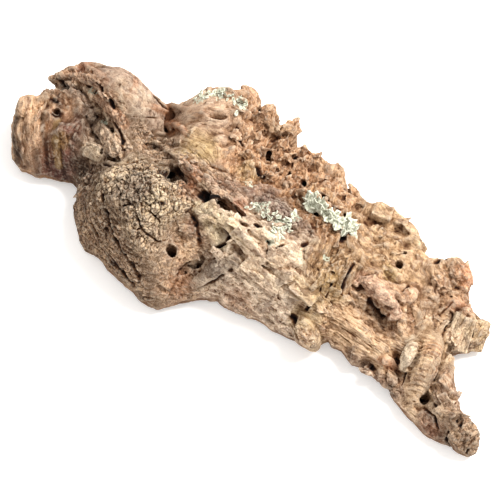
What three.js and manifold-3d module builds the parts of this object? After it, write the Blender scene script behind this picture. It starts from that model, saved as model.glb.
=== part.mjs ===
// A slab of virgin cork oak bark, 300 mm long, lying with its hollow inner face down, and the
// three patches of leafy lichen that grow on it.
//
// Millimetres. +X runs along the slab from its curled butt to its long toe, +Y runs across it
// from the low front edge to the raised back edge, and +Z is up. z = 0 is the plane it lies on.
//
// The bark is one solid. Its outer face is a relief raised over the outline by a formula: heights
// surveyed at marked spots, with mounds, furrows and grain added. Its inner face is a shallow vault
// that comes down to three feet. Knobs and flakes are fused on, and holes and clefts are cut in.

import * as THREE from "three";
import { ImprovedNoise } from "three/addons/math/ImprovedNoise.js";
import { mergeVertices } from "three/addons/utils/BufferGeometryUtils.js";
import Module from "manifold-3d";

const wasm = await Module();
wasm.setup();

// Driving dimensions
const LENGTH = 300;
const WIDTH = 124;
const ABOVE = 80; // higher than any part of the relief
const BELOW = -20; // lower than the floor

// How finely the two faces and the broken edge are drawn
const OUTER_STEP = 4;
const INNER_STEP = 7;
const EDGE_STEP = 9;
const EDGE_LAYER = 8;

// The outer face rolls over to a thin rim along the front, and stays thick along the back
const FRONT_RIM = 7;
const FRONT_ROLL = 15;
const BACK_RIM_SHARE = 0.82;
const BACK_ROLL = 5;

// The inner face: a vault that springs from the rims and stands on three flat feet
const VAULT_SPRING = 3.2;
const VAULT_RISE = 11.5;
const VAULT_REACH = 34;
const FEET = [
  [-74, -46],
  [120, -20],
  [-28, 47],
];
const FOOT_RADIUS = 10;
const FOOT_FLARE = 9;
const LEAST_FLOOR = 3; // bark left between the vault and a hole or cleft above it

// The outline in plan, front edge first, from the butt to the toe
const FRONT_EDGE = [
  // the butt
  [-150, -20], [-149, -25], [-146, -30], [-140, -37], [-135, -42], [-127, -45], [-118, -43],
  // the waist between the butt and the burl
  [-111, -37], [-101, -33], [-96, -35], [-91, -41],
  // round the burl
  [-88, -47], [-81, -52], [-71, -57], [-61, -57], [-54, -59.5], [-42, -61.5], [-30, -62], [-20, -60],
  [-17, -55], [-13, -50], [-8, -44],
  // along the front, under the grain
  [0, -37], [4, -37], [12, -35], [18, -34], [27, -32], [37, -32], [42, -31], [48, -29], [53, -27],
  [56, -23], [58, -20], [61, -21], [66, -20], [70, -21], [74, -22], [80, -20], [84, -20],
  [89, -21], [94, -20], [97, -22],
  // the toe
  [102, -24], [108, -25], [114, -26], [119, -26], [124, -28], [127, -28], [132, -27], [136, -26],
  [142, -26], [147, -25], [150, -21],
];

// and back along the back edge, from the toe to the butt
const BACK_EDGE = [
  [149, -17], [146, -14], [143, -12], [138, -10], [131, -8], [128, -7], [123, -2], [120, 1],
  // the notch, then the flat tail
  [117, 6], [113, 9], [110, 12], [113, 17], [116, 20], [117, 25], [118, 29], [118, 33], [114, 35],
  [109, 37], [106, 36], [102, 38], [100, 42], [97, 45], [97, 49], [96, 52], [92, 52], [87, 51],
  // the shoulder and its notch
  [82, 51], [77, 52], [76, 48], [74, 45], [70, 44], [67, 47], [66, 51], [62, 52], [53, 53],
  [45, 55], [39, 56], [34, 55], [32, 51], [28, 48], [21, 48], [18, 45], [16, 48], [14, 52],
  // the crumbled back edge
  [9, 53], [5, 55], [1, 52], [-4, 53], [-7, 55], [-10, 53], [-12, 55], [-16, 52], [-20, 52],
  [-24, 58], [-28, 59], [-31, 55], [-35, 58], [-40, 57], [-43, 54], [-47, 57], [-51, 61], [-56, 62],
  [-61, 60], [-63, 54],
  // the fan dome, the pinch and the knob
  [-68, 50], [-73, 46], [-77, 42], [-80, 37], [-84, 35], [-87, 33], [-89, 28], [-95, 28],
  [-102, 27], [-112, 26], [-123, 23], [-130, 21], [-136, 19], [-140, 15], [-141, 10], [-144, 8],
  [-147, 5], [-143, 3], [-138, 1], [-134, -4], [-137, -6], [-142, -6], [-140, -10], [-144, -14],
  [-148, -16],
];

// Surveyed heights of the outer face, [x, y, z]
const SURVEY_SPREAD = 8.5;
const SURVEY = [
  // the butt, a stub of branch bark
  [-146, -24, 24], [-132, -28, 32], [-116, -24, 32], [-130, -14, 28], [-120, -38, 20], [-138, -36, 20],
  [-104, -28, 24],
  // the neck and the knob behind it
  [-128, -4, 24], [-110, -8, 33], [-97, -20, 30], [-135, 9, 24], [-122, 14, 38], [-106, 14, 45],
  [-95, 17, 40], [-126, 20, 32], [-93, 26, 30], [-96, 4, 38],
  // the pinch, then the fan dome
  [-82, 27, 21], [-80, 14, 22], [-66, 28, 39], [-61, 42, 37], [-50, 28, 34], [-75, 37, 28], [-57, 57, 26],
  [-50, 48, 32],
  // the burl, the highest part
  [-84, -16, 34], [-72, -4, 32], [-50, -34, 55], [-64, -40, 49], [-38, -44, 46], [-74, -30, 43],
  [-30, -34, 43], [-84, -42, 24], [-62, -54, 26], [-30, -56, 26], [-26, -46, 32], [-55, -18, 44],
  [-18, -42, 22],
  // the crest that runs on from the burl
  [-40, -6, 38], [-20, -14, 42], [0, -16, 45], [22, -14, 43], [6, -30, 30], [36, -24, 26],
  [0, 5, 40], [-14, 8, 36], [14, 4, 38],
  // the crumbled back
  [-32, 20, 30], [-20, 40, 25], [0, 38, 26], [16, 44, 24], [-40, 46, 27], [12, 18, 30], [-36, 8, 32],
  // the lichen ledge and the flat shoulder beyond it
  [20, 26, 34], [35, 24, 30], [46, 44, 23], [52, 28, 26], [38, 6, 34], [60, 4, 29], [76, 28, 23],
  [66, -10, 24], [86, -8, 21], [92, 16, 22], [98, 38, 18], [110, 28, 14], [84, 44, 20],
  // the toe
  [101, 0, 21], [112, -8, 21], [126, -16, 18], [142, -20, 15], [118, -22, 15], [104, -18, 14],
];

// Raised forms: [x, y, length, width, turn in degrees, rise]
const MOUNDS = [
  [-132, -24, 34, 34, 0, 3], // the stub's bulge
  [-134, -12, 22, 6, -25, 3], // its back lip
  [-108, 8, 56, 26, 15, 4], // the knob's smooth back
  [-92, -13, 26, 7, -25, 4], // the pale plank on the neck
  [-98, -21, 9, 8, 10, 4], // the pale chip below it
  [-62, 34, 34, 12, 48, 3], // the fan's middle rib
  [-72, 30, 26, 6, 60, 2.5], // the fan's outer rib
  [-52, -30, 40, 30, 0, 3], // the burl's crown
  [-74, -40, 30, 7, 100, 3], // the burl's outer fold
  [-42, 0, 44, 7, -12, 4], // the fibrous ridge behind the burl
  [-15, -14, 25, 11, -8, 5], // the square-ended plate
  [-8, -28, 30, 9, -38, 3.5], // the rib that closes the burl's right side
  [14, -8, 40, 14, -4, 3], // the crest
  [4, 9, 24, 12, 20, 5], // the lichened hump
  [20, 27, 38, 5, -6, 6], // the lichened ledge
  [66, 11, 24, 8, -22, 6], // the pink roll
  [77, 14, 14, 8, 35, 4], // the short roll beside it
  [106, -10, 42, 12, -73, 5], // the ribbed log across the toe
  [123, -12, 30, 13, -40, 3], // the smooth plate beyond the log
  [139, -19, 18, 12, -5, 3], // the toe's end block
  [100, 24, 24, 6, -68, 3], // the tail's first ply
  [108, 27, 22, 6, -68, 3], // the tail's second ply
  [90, 47, 16, 8, -35, 4], // the orange lump on the shoulder
  [53, 50, 34, 5, -3, 3], // the shoulder's upstanding edge
  [-24, 54, 10, 7, 60, 3], // two lumps on the crumbled edge
  [-37, 55, 9, 6, 80, 3],
  [0, 50, 16, 7, 0, 3],
];

// Soft valleys: [x0, y0, x1, y1, width, depth]
const FURROWS = [
  [-106, -4, -88, -32, 10, 7], // the waist
  [-122, 4, -100, -8, 8, 8], // between the stub and the knob
  [-86, 34, -76, 4, 11, 8], // the pinch
  [-76, 2, -48, -8, 8, 6], // behind the burl
  [-10, -22, -22, -58, 7, 9], // the fold on the burl's right
  [-88, -30, -58, -56, 5, 3], // the fold inside the burl's rim
  [-14, 18, 6, 20, 9, 5], // in front of the crumbled back
  [38, 14, 30, -10, 7, 4], // the splits across the crest
  [58, 2, 80, -4, 7, 6], // under the pink roll
  [99, 4, 108, -26, 4, 5], // each side of the ribbed log
  [109, 5, 116, -20, 4, 5],
  [92, -10, 98, -16, 9, 6], // the shadowed pocket behind the white flake
  [88, 30, 96, 24, 6, 4], // above the tail
  [40, -22, 44, -30, 8, 5], // beside the peg
];

// Lumpy ground: [x, y, length, width, turn in degrees, lump size, lump height]
const CRUMBLE = [
  [-32, 38, 100, 46, -5, 11, 7], // the crumbled back
  [40, 40, 60, 30, 0, 10, 4], // its thinner end along the shoulder
  [-52, -36, 74, 56, 0, 13, 4], // the burl's cracked plates
  [8, -10, 60, 40, 0, 12, 3.5], // the crest
  [64, 8, 60, 40, 0, 11, 4.5], // the broken ground round the pink roll
  [98, 34, 44, 44, 0, 10, 4.5], // the tail
  [130, -16, 44, 26, -20, 11, 4], // the toe
  [-118, -12, 60, 40, 0, 11, 4], // the stub and the neck
];

// Parallel ribs: [x, y, length along the ribs, width across them, turn in degrees, spacing, height]
const RIBS = [
  [-132, -24, 46, 40, 88, 11, 0.9], // the growth bands round the stub
  [-62, 30, 44, 50, 50, 10, 0.9], // the fan dome's ribs
  [30, -20, 90, 30, -4, 9, 0.8], // the long fibres under the crest
  [104, 22, 40, 32, -68, 9, 1.1], // the tail's plies
  [70, -14, 60, 24, -5, 9, 0.8], // the fibres towards the toe
];

// Clefts cut in: [x, y, length, width, turn in degrees, depth]
const CLEFTS = [
  [-50, -7.5, 14, 7, -5, 12], // the cavity behind the burl
  [-16, -5, 27, 6.5, -5, 14], // the long cleft
  [-80, 21, 15, 6, -62, 9], // the pinch's throat
  [-84, -19, 12, 5, 5, 7], // the gap under the plank
  [-134, 6, 12, 5, 25, 9], // the hook's eye
  [-112, 2, 12, 4.5, -30, 8], // the knob's front crease
  [-137, -9, 8, 4.5, 20, 9], // the curled lip's mouth
  [-17, -36, 16, 4, 65, 8], // the burl's right fold
  [10, 23.5, 22, 4, -8, 7], // under the ledge
  [74, 1, 14, 5, -20, 9], // the dark pocket under the pink roll
  [72, 47, 8, 5, -20, 10], // the shoulder's notch
];

// Round holes bored by insects: [x, y, bore, depth]
const BORES = [
  [-26.5, -40, 6, 22],
  [64, 29, 4.6, 14],
  [62, 36, 2.6, 9],
  [114, -16, 6.5, 10],
  [-96, -7, 6, 12],
  [-125, -15.5, 5, 11],
  [-25, 36, 4.5, 9],
];

// Loose-edged flakes, pegs and crumbs that stand out: [x, y, z, length, width, height, turn, lean]
const FLAKES = [
  [47, -24, 13, 17, 13, 17, -60, 22], // the peg on the front edge
  [96, -7, 18, 13, 4.5, 13, -72, 12], // the white flake
  [95, -17, 12, 10, 5, 6, -30, 0], // the crumb below it
  [-144, 5.5, 15, 12, 6, 6, 30, -8], // the knob's hook
  [-138, -5.5, 19, 8, 3.5, 5, 10, 20], // the butt's curled lip
  [-42, 57, 23, 9, 8, 9, 20, 0], // crumbs along the back edge
  [-26, 57, 22, 9, 7, 10, 70, 0],
  [-56, 58, 23, 13, 8, 9, -10, 0],
  [6, 52, 20, 10, 7, 9, 0, 0],
  [22, 47, 20, 9, 7, 8, -30, 0],
  [89, 49, 17, 13, 8, 9, -35, 0],
  [115, 31, 11, 9, 10, 8, 20, 0],
  [74, -20, 9, 9, 6, 8, 0, 0],
  [84, -19, 9, 8, 6, 7, 40, 0],
];

// Leafy lichen patches, as lobes set either side of a short spine:
// [name, spine x0, y0, x1, y1, lobes, lobe reach, spread of the patch across the spine]
const LICHEN_PATCHES = [
  ["lichen_ledge", 5, 29, 34, 27, 13, 5, 3],
  ["lichen_hump", -5, 3, 12, 7, 11, 5, 8],
  ["lichen_back_edge", -70, 35, -54, 46, 10, 4.2, 3.5],
];
const LICHEN_THICKNESS = 1.2;
const LICHEN_RUFFLE = 2; // how much thicker the sheet stands where its lobes buckle
const LICHEN_STEP = 2.5;
const LICHEN_GAP = 0.4; // clear of the bark below it
const LICHEN_SUNK = 2; // how deep it may follow a hollow in the bark

// Materials
const cork = new THREE.MeshStandardMaterial({ color: 0xb8977a, roughness: 0.95, metalness: 0 });
const lichen = new THREE.MeshStandardMaterial({ color: 0xc9d0b8, roughness: 0.9, metalness: 0 });

const perlin = new ImprovedNoise();
const radians = THREE.MathUtils.degToRad;

// Noise from -1 to 1 whose largest lumps are `size` across
function grainNoise(x, y, z, size, octaves = 2) {
  let sum = 0;
  for (let k = 0; k < octaves; k++) {
    const f = 2 ** k / size;
    sum += perlin.noise(x * f, y * f, z * f) / 2 ** k;
  }
  return sum;
}

function distanceToLine(x, y, points) {
  let least = Infinity;
  for (let i = 1; i < points.length; i++) {
    const [ax, ay] = points[i - 1];
    const [bx, by] = points[i];
    const along = ((x - ax) * (bx - ax) + (y - ay) * (by - ay)) / ((bx - ax) ** 2 + (by - ay) ** 2);
    const t = THREE.MathUtils.clamp(along, 0, 1);
    least = Math.min(least, Math.hypot(x - ax - t * (bx - ax), y - ay - t * (by - ay)));
  }
  return least;
}

const frontLine = [...FRONT_EDGE, BACK_EDGE[0]];
const backLine = [...BACK_EDGE, FRONT_EDGE[0]];
const outline = [...FRONT_EDGE, ...BACK_EDGE];

function isInside(x, y) {
  let inside = false;
  outline.forEach(([bx, by], i) => {
    const [ax, ay] = outline.at(i - 1);
    if (ay > y !== by > y && x < ax + ((bx - ax) * (y - ay)) / (by - ay)) inside = !inside;
  });
  return inside;
}

// A quarter circle that climbs from 0 at the edge to 1 at `roll` from it
function rollOver(distance, roll) {
  const t = 1 - Math.min(distance / roll, 1);
  return Math.sqrt(1 - t * t);
}

function surveyedHeight(x, y) {
  let sum = 0;
  let weights = 1e-9;
  for (const [sx, sy, sz] of SURVEY) {
    const w = Math.exp(-((x - sx) ** 2 + (y - sy) ** 2) / (2 * SURVEY_SPREAD ** 2)) + 1e-6;
    sum += w * sz;
    weights += w;
  }
  return sum / weights;
}

// A step across the slab, as a step along and across a line turned from +X
function turned(dx, dy, turn) {
  const c = Math.cos(radians(turn));
  const s = Math.sin(radians(turn));
  return [dx * c + dy * s, -dx * s + dy * c];
}

function moundRise(x, y, [mx, my, length, width, turn, rise]) {
  const [along, across] = turned(x - mx, y - my, turn);
  const r2 = (along / (length / 2)) ** 2 + (across / (width / 2)) ** 2;
  return r2 < 1 ? rise * Math.sqrt(1 - r2 ** 2) : 0;
}

// How far into an oval area a point lies: 1 at its middle, 0 outside it
function depthInto(x, y, ax, ay, length, width, turn) {
  const [along, across] = turned(x - ax, y - ay, turn);
  const r = Math.hypot(along / (length / 2), across / (width / 2));
  return THREE.MathUtils.smoothstep(1 - r, 0, 0.35);
}

// Rounded lumps with sharp valleys between them
function crumbleRise(x, y, [ax, ay, length, width, turn, size, height]) {
  const depth = depthInto(x, y, ax, ay, length, width, turn);
  return depth && height * depth * (Math.abs(grainNoise(x, y, 20, size, 2)) * 2 - 0.5);
}

function ribRise(x, y, [ax, ay, length, width, turn, spacing, height]) {
  const depth = depthInto(x, y, ax, ay, length, width, turn);
  if (depth === 0) return 0;
  const [along, across] = turned(x - ax, y - ay, turn);
  const wander = 2.5 * grainNoise(along, across, 30, 25, 1);
  return height * depth * Math.sin(((across + wander) / spacing) * Math.PI * 2);
}

function furrowDepth(x, y, [x0, y0, x1, y1, width, depth]) {
  const off = distanceToLine(x, y, [[x0, y0], [x1, y1]]) / width;
  return off < 1 ? depth * (1 - off) ** 2 * (1 + 2 * off) : 0;
}

function outerHeight(x, y) {
  let z = surveyedHeight(x, y);
  for (const mound of MOUNDS) z += moundRise(x, y, mound);
  for (const furrow of FURROWS) z -= furrowDepth(x, y, furrow);
  for (const area of CRUMBLE) z += crumbleRise(x, y, area);
  for (const area of RIBS) z += ribRise(x, y, area);
  z += 1.6 * grainNoise(x, y, 3, 16, 2);
  const inside = isInside(x, y);
  const toFront = inside ? distanceToLine(x, y, frontLine) : 0;
  const toBack = inside ? distanceToLine(x, y, backLine) : 0;
  const front = FRONT_RIM + (z - FRONT_RIM) * rollOver(toFront, FRONT_ROLL);
  const rim = Math.min(front, z * BACK_RIM_SHARE);
  return rim + (front - rim) * rollOver(toBack, BACK_ROLL);
}

function innerHeight(x, y) {
  const toEdge = isInside(x, y) ? distanceToLine(x, y, [...outline, outline[0]]) : 0;
  const t = Math.min(toEdge / VAULT_REACH, 1);
  let z = VAULT_SPRING + VAULT_RISE * Math.sin((Math.PI / 2) * t);
  z += 1.3 * grainNoise(x, y, 40, 18, 2);
  for (const [fx, fy] of FEET) {
    const off = Math.hypot(x - fx, y - fy);
    z = Math.min(z, Math.max(0, (off - FOOT_RADIUS) / FOOT_FLARE) * VAULT_SPRING * 2);
  }
  return Math.max(z, 0);
}

// A closed three.js geometry as a solid that can be cut and joined
function solid(geometry) {
  const bare = geometry.index ? geometry.toNonIndexed() : geometry.clone();
  bare.deleteAttribute("normal");
  bare.deleteAttribute("uv");
  const merged = mergeVertices(bare, 1e-3);
  const vertProperties = merged.attributes.position.array;
  const triVerts = new Uint32Array(merged.index.array);
  return new wasm.Manifold(new wasm.Mesh({ numProp: 3, vertProperties, triVerts }));
}

// A solid back as a three.js mesh
function meshOf(name, part, material) {
  const { vertProperties, triVerts } = part.getMesh();
  const geometry = new THREE.BufferGeometry();
  geometry.setAttribute("position", new THREE.BufferAttribute(new Float32Array(vertProperties), 3));
  geometry.setIndex(new THREE.BufferAttribute(new Uint32Array(triVerts), 1));
  geometry.computeVertexNormals();
  const mesh = new THREE.Mesh(geometry, material);
  mesh.name = name;
  return mesh;
}

function moveVertices(geometry, place) {
  const position = geometry.attributes.position;
  const point = new THREE.Vector3();
  for (let i = 0; i < position.count; i++) {
    point.fromBufferAttribute(position, i);
    place(point);
    position.setXYZ(i, point.x, point.y, point.z);
  }
  return geometry;
}

// A block from `floor` up to the relief `height(x, y)`
function reliefBlock(height, step, floor) {
  const columns = Math.round((LENGTH + 20) / step);
  const rows = Math.round((WIDTH + 20) / step);
  const block = new THREE.BoxGeometry(LENGTH + 20, WIDTH + 20, 2, columns, rows, 1);
  return solid(
    moveVertices(block, (p) => {
      p.z = p.z > 0 ? height(p.x, p.y) : floor;
    }),
  );
}

// The broken edge: the outline drawn upwards, its walls pushed in and out in ledges
function edgePrism() {
  const points = [];
  outline.forEach(([x, y], i) => {
    const [nx, ny] = outline[(i + 1) % outline.length];
    const parts = Math.ceil(Math.hypot(nx - x, ny - y) / EDGE_STEP);
    for (let k = 0; k < parts; k++) {
      points.push(new THREE.Vector2(x + ((nx - x) * k) / parts, y + ((ny - y) * k) / parts));
    }
  });
  const depth = ABOVE - BELOW;
  const steps = Math.round(depth / EDGE_LAYER);
  const prism = new THREE.ExtrudeGeometry(new THREE.Shape(points), { depth, steps, bevelEnabled: false });
  return solid(
    moveVertices(prism, (p) => {
      p.z += BELOW;
      const { x, y, z } = p;
      p.x += 1.6 * grainNoise(x, y, z * 2, 14, 2);
      p.y += 1.6 * grainNoise(x + 100, y, z * 2, 14, 2);
    }),
  );
}

// A lumpy stone-like blob of a given size, turned about Z and leant about its long axis
function blob(length, width, height, turn, lean, lumpiness, seed, detail = 2) {
  const ball = moveVertices(new THREE.IcosahedronGeometry(1, detail), (p) => {
    p.multiplyScalar(1 + lumpiness * perlin.noise(p.x * 1.7 + seed, p.y * 1.7, p.z * 1.7));
  });
  ball.scale(length / 2, width / 2, height / 2);
  ball.rotateX(radians(lean));
  ball.rotateZ(radians(turn));
  return ball;
}

function flake([x, y, z, length, width, height, turn, lean], i) {
  return solid(blob(length, width, height, turn, lean, 0.45, 7 * i, 1).translate(x, y, z));
}

// The most that can be cut away from above and still leave a floor over the vault
function safeDepth(x, y, depth) {
  return Math.min(depth, outerHeight(x, y) - innerHeight(x, y) - LEAST_FLOOR);
}

// A cleft is a lens sunk in the surface, so that it ends in points and deepens in the middle
function cleft([x, y, length, width, turn, depth], i) {
  const lens = blob(length, width, safeDepth(x, y, depth) * 2, turn, 0, 0.35, 50 + 3 * i, 1);
  return solid(lens.translate(x, y, outerHeight(x, y) + 1));
}

function bore([x, y, size, depth]) {
  const hole = new THREE.CylinderGeometry(size / 2, size / 2.4, safeDepth(x, y, depth) * 2, 10);
  hole.rotateX(Math.PI / 2);
  return solid(hole.translate(x, y, outerHeight(x, y)));
}

function buildBark() {
  const relief = reliefBlock(outerHeight, OUTER_STEP, BELOW + 5);
  const vault = reliefBlock(innerHeight, INNER_STEP, BELOW - 5);
  let bark = relief.intersect(edgePrism()).subtract(vault);
  for (const f of FLAKES.map(flake)) bark = bark.add(f);
  for (const c of CLEFTS.map(cleft)) bark = bark.subtract(c);
  for (const b of BORES.map(bore)) bark = bark.subtract(b);
  return largestPiece(bark);
}

function largestPiece(part) {
  return part.decompose().sort((a, b) => b.volume() - a.volume())[0];
}

// One lobe seen from above: a round leaf with three scallops, as a tall prism
function lobePrism(reach, seed) {
  const shape = new THREE.Shape();
  const corners = 12;
  for (let i = 0; i < corners; i++) {
    const a = (i / corners) * Math.PI * 2;
    const r = reach * (0.72 + 0.2 * Math.cos(3 * a) + 0.2 * perlin.noise(seed, i * 0.9, 0));
    const x = reach * 0.45 + r * Math.cos(a);
    const y = r * 0.75 * Math.sin(a);
    if (i === 0) shape.moveTo(x, y);
    else shape.lineTo(x, y);
  }
  return new THREE.ExtrudeGeometry(shape, { depth: ABOVE, bevelEnabled: false });
}

function lichenTop(x, y) {
  const ruffle = LICHEN_RUFFLE * Math.abs(grainNoise(x, y, 60, 7, 1));
  return outerHeight(x, y) + LICHEN_GAP + LICHEN_THICKNESS + ruffle;
}

// A patch: a core with lobes round it, cut from a thin layer that follows the bark just clear of it
function buildLichen([, x0, y0, x1, y1, lobes, reach, spread], layer) {
  const spine = Math.atan2(y1 - y0, x1 - x0);
  const core = new THREE.CylinderGeometry(1, 1, ABOVE, 16);
  core.rotateX(Math.PI / 2);
  core.scale(Math.hypot(x1 - x0, y1 - y0) / 2, spread * 0.8, 1);
  core.rotateZ(spine);
  let patch = solid(core.translate((x0 + x1) / 2, (y0 + y1) / 2, ABOVE / 2));
  for (let i = 0; i < lobes; i++) {
    const t = i / (lobes - 1);
    const side = i % 2 ? 1 : -1;
    const off = side * spread * (0.35 + 0.4 * Math.abs(perlin.noise(i * 1.3, 2, 0)));
    const x = x0 + (x1 - x0) * t - off * Math.sin(spine);
    const y = y0 + (y1 - y0) * t + off * Math.cos(spine);
    const lobe = lobePrism(reach * (0.9 + 0.3 * perlin.noise(i * 2.1, 8, 0)), i * 3.7);
    lobe.rotateZ(spine + (side * Math.PI) / 2 + perlin.noise(i * 0.7, 4, 1));
    patch = patch.add(solid(lobe.translate(x, y, 0)));
  }
  return largestPiece(patch.intersect(layer));
}

// The layer that the lichens are cut from lies clear of the bark from above and from the sides
function lichenLayer(bark) {
  const under = reliefBlock((x, y) => outerHeight(x, y) - LICHEN_SUNK, OUTER_STEP, BELOW - 5);
  let layer = reliefBlock(lichenTop, LICHEN_STEP, BELOW).subtract(under);
  const ways = [[0, 0, 0], [0, 0, 1], [1, 0, 0.2], [-1, 0, 0.2], [0, 1, 0.2], [0, -1, 0.2]];
  for (const way of ways) {
    layer = layer.subtract(bark.translate(way.map((w) => w * LICHEN_GAP)));
  }
  return layer;
}

const bark = buildBark();
const layer = lichenLayer(bark);
const slab = new THREE.Group();
slab.add(meshOf("cork_bark", bark, cork));
for (const patch of LICHEN_PATCHES) {
  slab.add(meshOf(patch[0], buildLichen(patch, layer), lichen));
}

// The origin is the middle of the slab's box, on the plane that it lies on
const { min, max } = bark.boundingBox();
slab.position.set(-(min[0] + max[0]) / 2, -(min[1] + max[1]) / 2, 0);

export default slab;
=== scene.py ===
"""The looks of a slab of virgin cork oak bark, about 300 mm long, with its patches of leafy lichen.

The bark starts from the frame's solid. Plates, rolls and loose chips are fused on, creases are cut, and
each region is then carved with its own grain: growth bands on the stub, cracked plates on the burl,
crumbled cork along the back, long fibres on the crest, and so on. Features that the photograph shows
are placed by its pixels, on the 500 by 500 frame, and cast from its camera onto the solid.
"""

import math

import bmesh
import bpy
import numpy as np
from mathutils import Matrix, Vector, noise
from mathutils.bvhtree import BVHTree


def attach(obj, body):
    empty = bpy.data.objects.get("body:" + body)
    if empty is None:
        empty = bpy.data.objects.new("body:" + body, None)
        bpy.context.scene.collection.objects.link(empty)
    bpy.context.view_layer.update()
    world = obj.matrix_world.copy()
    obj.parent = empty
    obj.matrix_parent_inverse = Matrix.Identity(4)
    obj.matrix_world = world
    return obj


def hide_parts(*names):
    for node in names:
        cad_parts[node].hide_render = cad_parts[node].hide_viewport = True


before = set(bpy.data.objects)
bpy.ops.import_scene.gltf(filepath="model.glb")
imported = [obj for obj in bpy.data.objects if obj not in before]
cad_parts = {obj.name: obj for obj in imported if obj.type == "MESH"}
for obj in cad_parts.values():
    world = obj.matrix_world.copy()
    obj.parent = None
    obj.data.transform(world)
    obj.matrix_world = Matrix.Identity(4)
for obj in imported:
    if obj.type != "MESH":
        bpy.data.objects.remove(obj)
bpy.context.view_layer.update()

MM = 0.001

# Blender's own noise starts from the clock unless it has a seed
noise.seed_set(1)

# The photograph's camera: turned and raised round a target, which its frame shows at this pixel
PHOTO_SIDE = 500
VIEW_TURN = math.radians(39)
VIEW_RISE = math.radians(65)
VIEW_DISTANCE = 900 * MM
VIEW_TARGET = Vector((1.5, -12.8, 18)) * MM
TARGET_PIXEL = (250, 257)
PIXELS_PER_METRE = 1980
SENSOR_WIDTH = 36

# How finely the bark is carved, and what it is thinned to
VOXEL = 0.5 * MM
MOST_FACES = 196_000

# Edges that turn by more than this stay crisp
SHARP = math.radians(34)


def srgb(code):
    """A hex colour turned to linear red, green, blue and alpha."""
    values = [int(code[i : i + 2], 16) / 255 for i in (1, 3, 5)]
    return [v / 12.92 if v <= 0.04045 else ((v + 0.055) / 1.055) ** 2.4 for v in values] + [1.0]


# Camera, lights and ground


def view_axes():
    """Right, up and back of the photograph's camera."""
    flat = math.cos(VIEW_RISE)
    back = Vector((math.sin(VIEW_TURN) * flat, -math.cos(VIEW_TURN) * flat, math.sin(VIEW_RISE)))
    right = Vector((math.cos(VIEW_TURN), math.sin(VIEW_TURN), 0))
    return right, back.cross(right), back


def make_camera():
    right, up, back = view_axes()
    data = bpy.data.cameras.new("photo_camera")
    data.sensor_width = SENSOR_WIDTH
    data.lens = SENSOR_WIDTH * PIXELS_PER_METRE * VIEW_DISTANCE / PHOTO_SIDE
    data.shift_x = (PHOTO_SIDE / 2 - TARGET_PIXEL[0]) / PHOTO_SIDE
    data.shift_y = (TARGET_PIXEL[1] - PHOTO_SIDE / 2) / PHOTO_SIDE
    data.clip_start = 0.01
    camera = bpy.data.objects.new("photo_camera", data)
    turn = Matrix((right, up, back)).transposed().to_4x4()
    camera.matrix_world = Matrix.Translation(VIEW_TARGET + back * VIEW_DISTANCE) @ turn
    bpy.context.scene.collection.objects.link(camera)
    bpy.context.scene.camera = camera


def photo_ray(u, v):
    """Where the ray through a pixel of the photograph starts, and which way it goes."""
    right, up, back = view_axes()
    start = VIEW_TARGET + back * VIEW_DISTANCE
    aside = right * (u - TARGET_PIXEL[0]) - up * (v - TARGET_PIXEL[1])
    return start, (aside / PIXELS_PER_METRE - back * VIEW_DISTANCE).normalized()


def add_area_light(name, direction, distance, size, power, colour):
    data = bpy.data.lights.new(name, "AREA")
    data.shape = "DISK"
    data.size = size
    data.energy = power
    data.color = srgb(colour)[:3]
    light = bpy.data.objects.new(name, data)
    way = Vector(direction).normalized()
    light.location = VIEW_TARGET + way * distance
    light.rotation_euler = way.to_track_quat("Z", "Y").to_euler()
    bpy.context.scene.collection.objects.link(light)


def make_light():
    """A soft white tent with its main light behind the slab, to the picture's upper right."""
    world = bpy.data.worlds.new("white_tent")
    world.use_nodes = True
    sky = world.node_tree.nodes["Background"]
    sky.inputs["Color"].default_value = srgb("#FFFCF8")
    sky.inputs["Strength"].default_value = 0.97
    bpy.context.scene.world = world
    add_area_light("key", (0.32, 0.62, 1.0), 1.1, 0.5, 23, "#FFFCF8")
    bpy.context.scene.view_settings.view_transform = "Standard"
    bpy.context.scene.view_settings.look = "None"


def new_material(name, values):
    """A material with uniform values set on its shader, with its node tree and the shader."""
    material = bpy.data.materials.new(name)
    material.use_nodes = True
    shader = material.node_tree.nodes["Principled BSDF"]
    for socket, value in values.items():
        shader.inputs[socket].default_value = value
    return material, material.node_tree, shader


def make_ground():
    """A white acrylic sheet whose faint glow is painted light: it lifts the shadows, leaving only those near
    the slab.
    """
    bm = bmesh.new()
    bmesh.ops.create_grid(bm, x_segments=1, y_segments=1, size=3)
    ground = mesh_object("ground", bm)
    # The emission is painted light: the sheet glows though it is no lamp, and lights the slab's undersides
    # too
    acrylic, _, _ = new_material("white_acrylic", {
        "Base Color": srgb("#FAFAFA"), "Roughness": 0.95,
        "Emission Color": srgb("#FFFFFF"), "Emission Strength": 0.28})
    ground.data.materials.append(acrylic)


# Mesh helpers


def mesh_object(name, bm):
    mesh = bpy.data.meshes.new(name)
    bm.to_mesh(mesh)
    bm.free()
    made = bpy.data.objects.new(name, mesh)
    bpy.context.scene.collection.objects.link(made)
    return made


def apply_modifiers(made):
    """Leaves the mesh that the object's modifiers make, and no modifiers."""
    graph = bpy.context.evaluated_depsgraph_get()
    result = bpy.data.meshes.new_from_object(made.evaluated_get(graph))
    made.modifiers.clear()
    made.data = result


def vectors_of(items, field):
    """One field of a mesh's vertices or normals, as an array with a row for each."""
    flat = np.empty(len(items) * 3)
    items.foreach_get(field, flat)
    return flat.reshape(-1, 3)


def edges_of(mesh):
    flat = np.empty(len(mesh.edges) * 2, dtype=np.int64)
    mesh.edges.foreach_get("vertices", flat)
    return flat.reshape(-1, 2)


def put_points(mesh, points):
    mesh.vertices.foreach_set("co", points.ravel())
    mesh.update()


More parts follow.
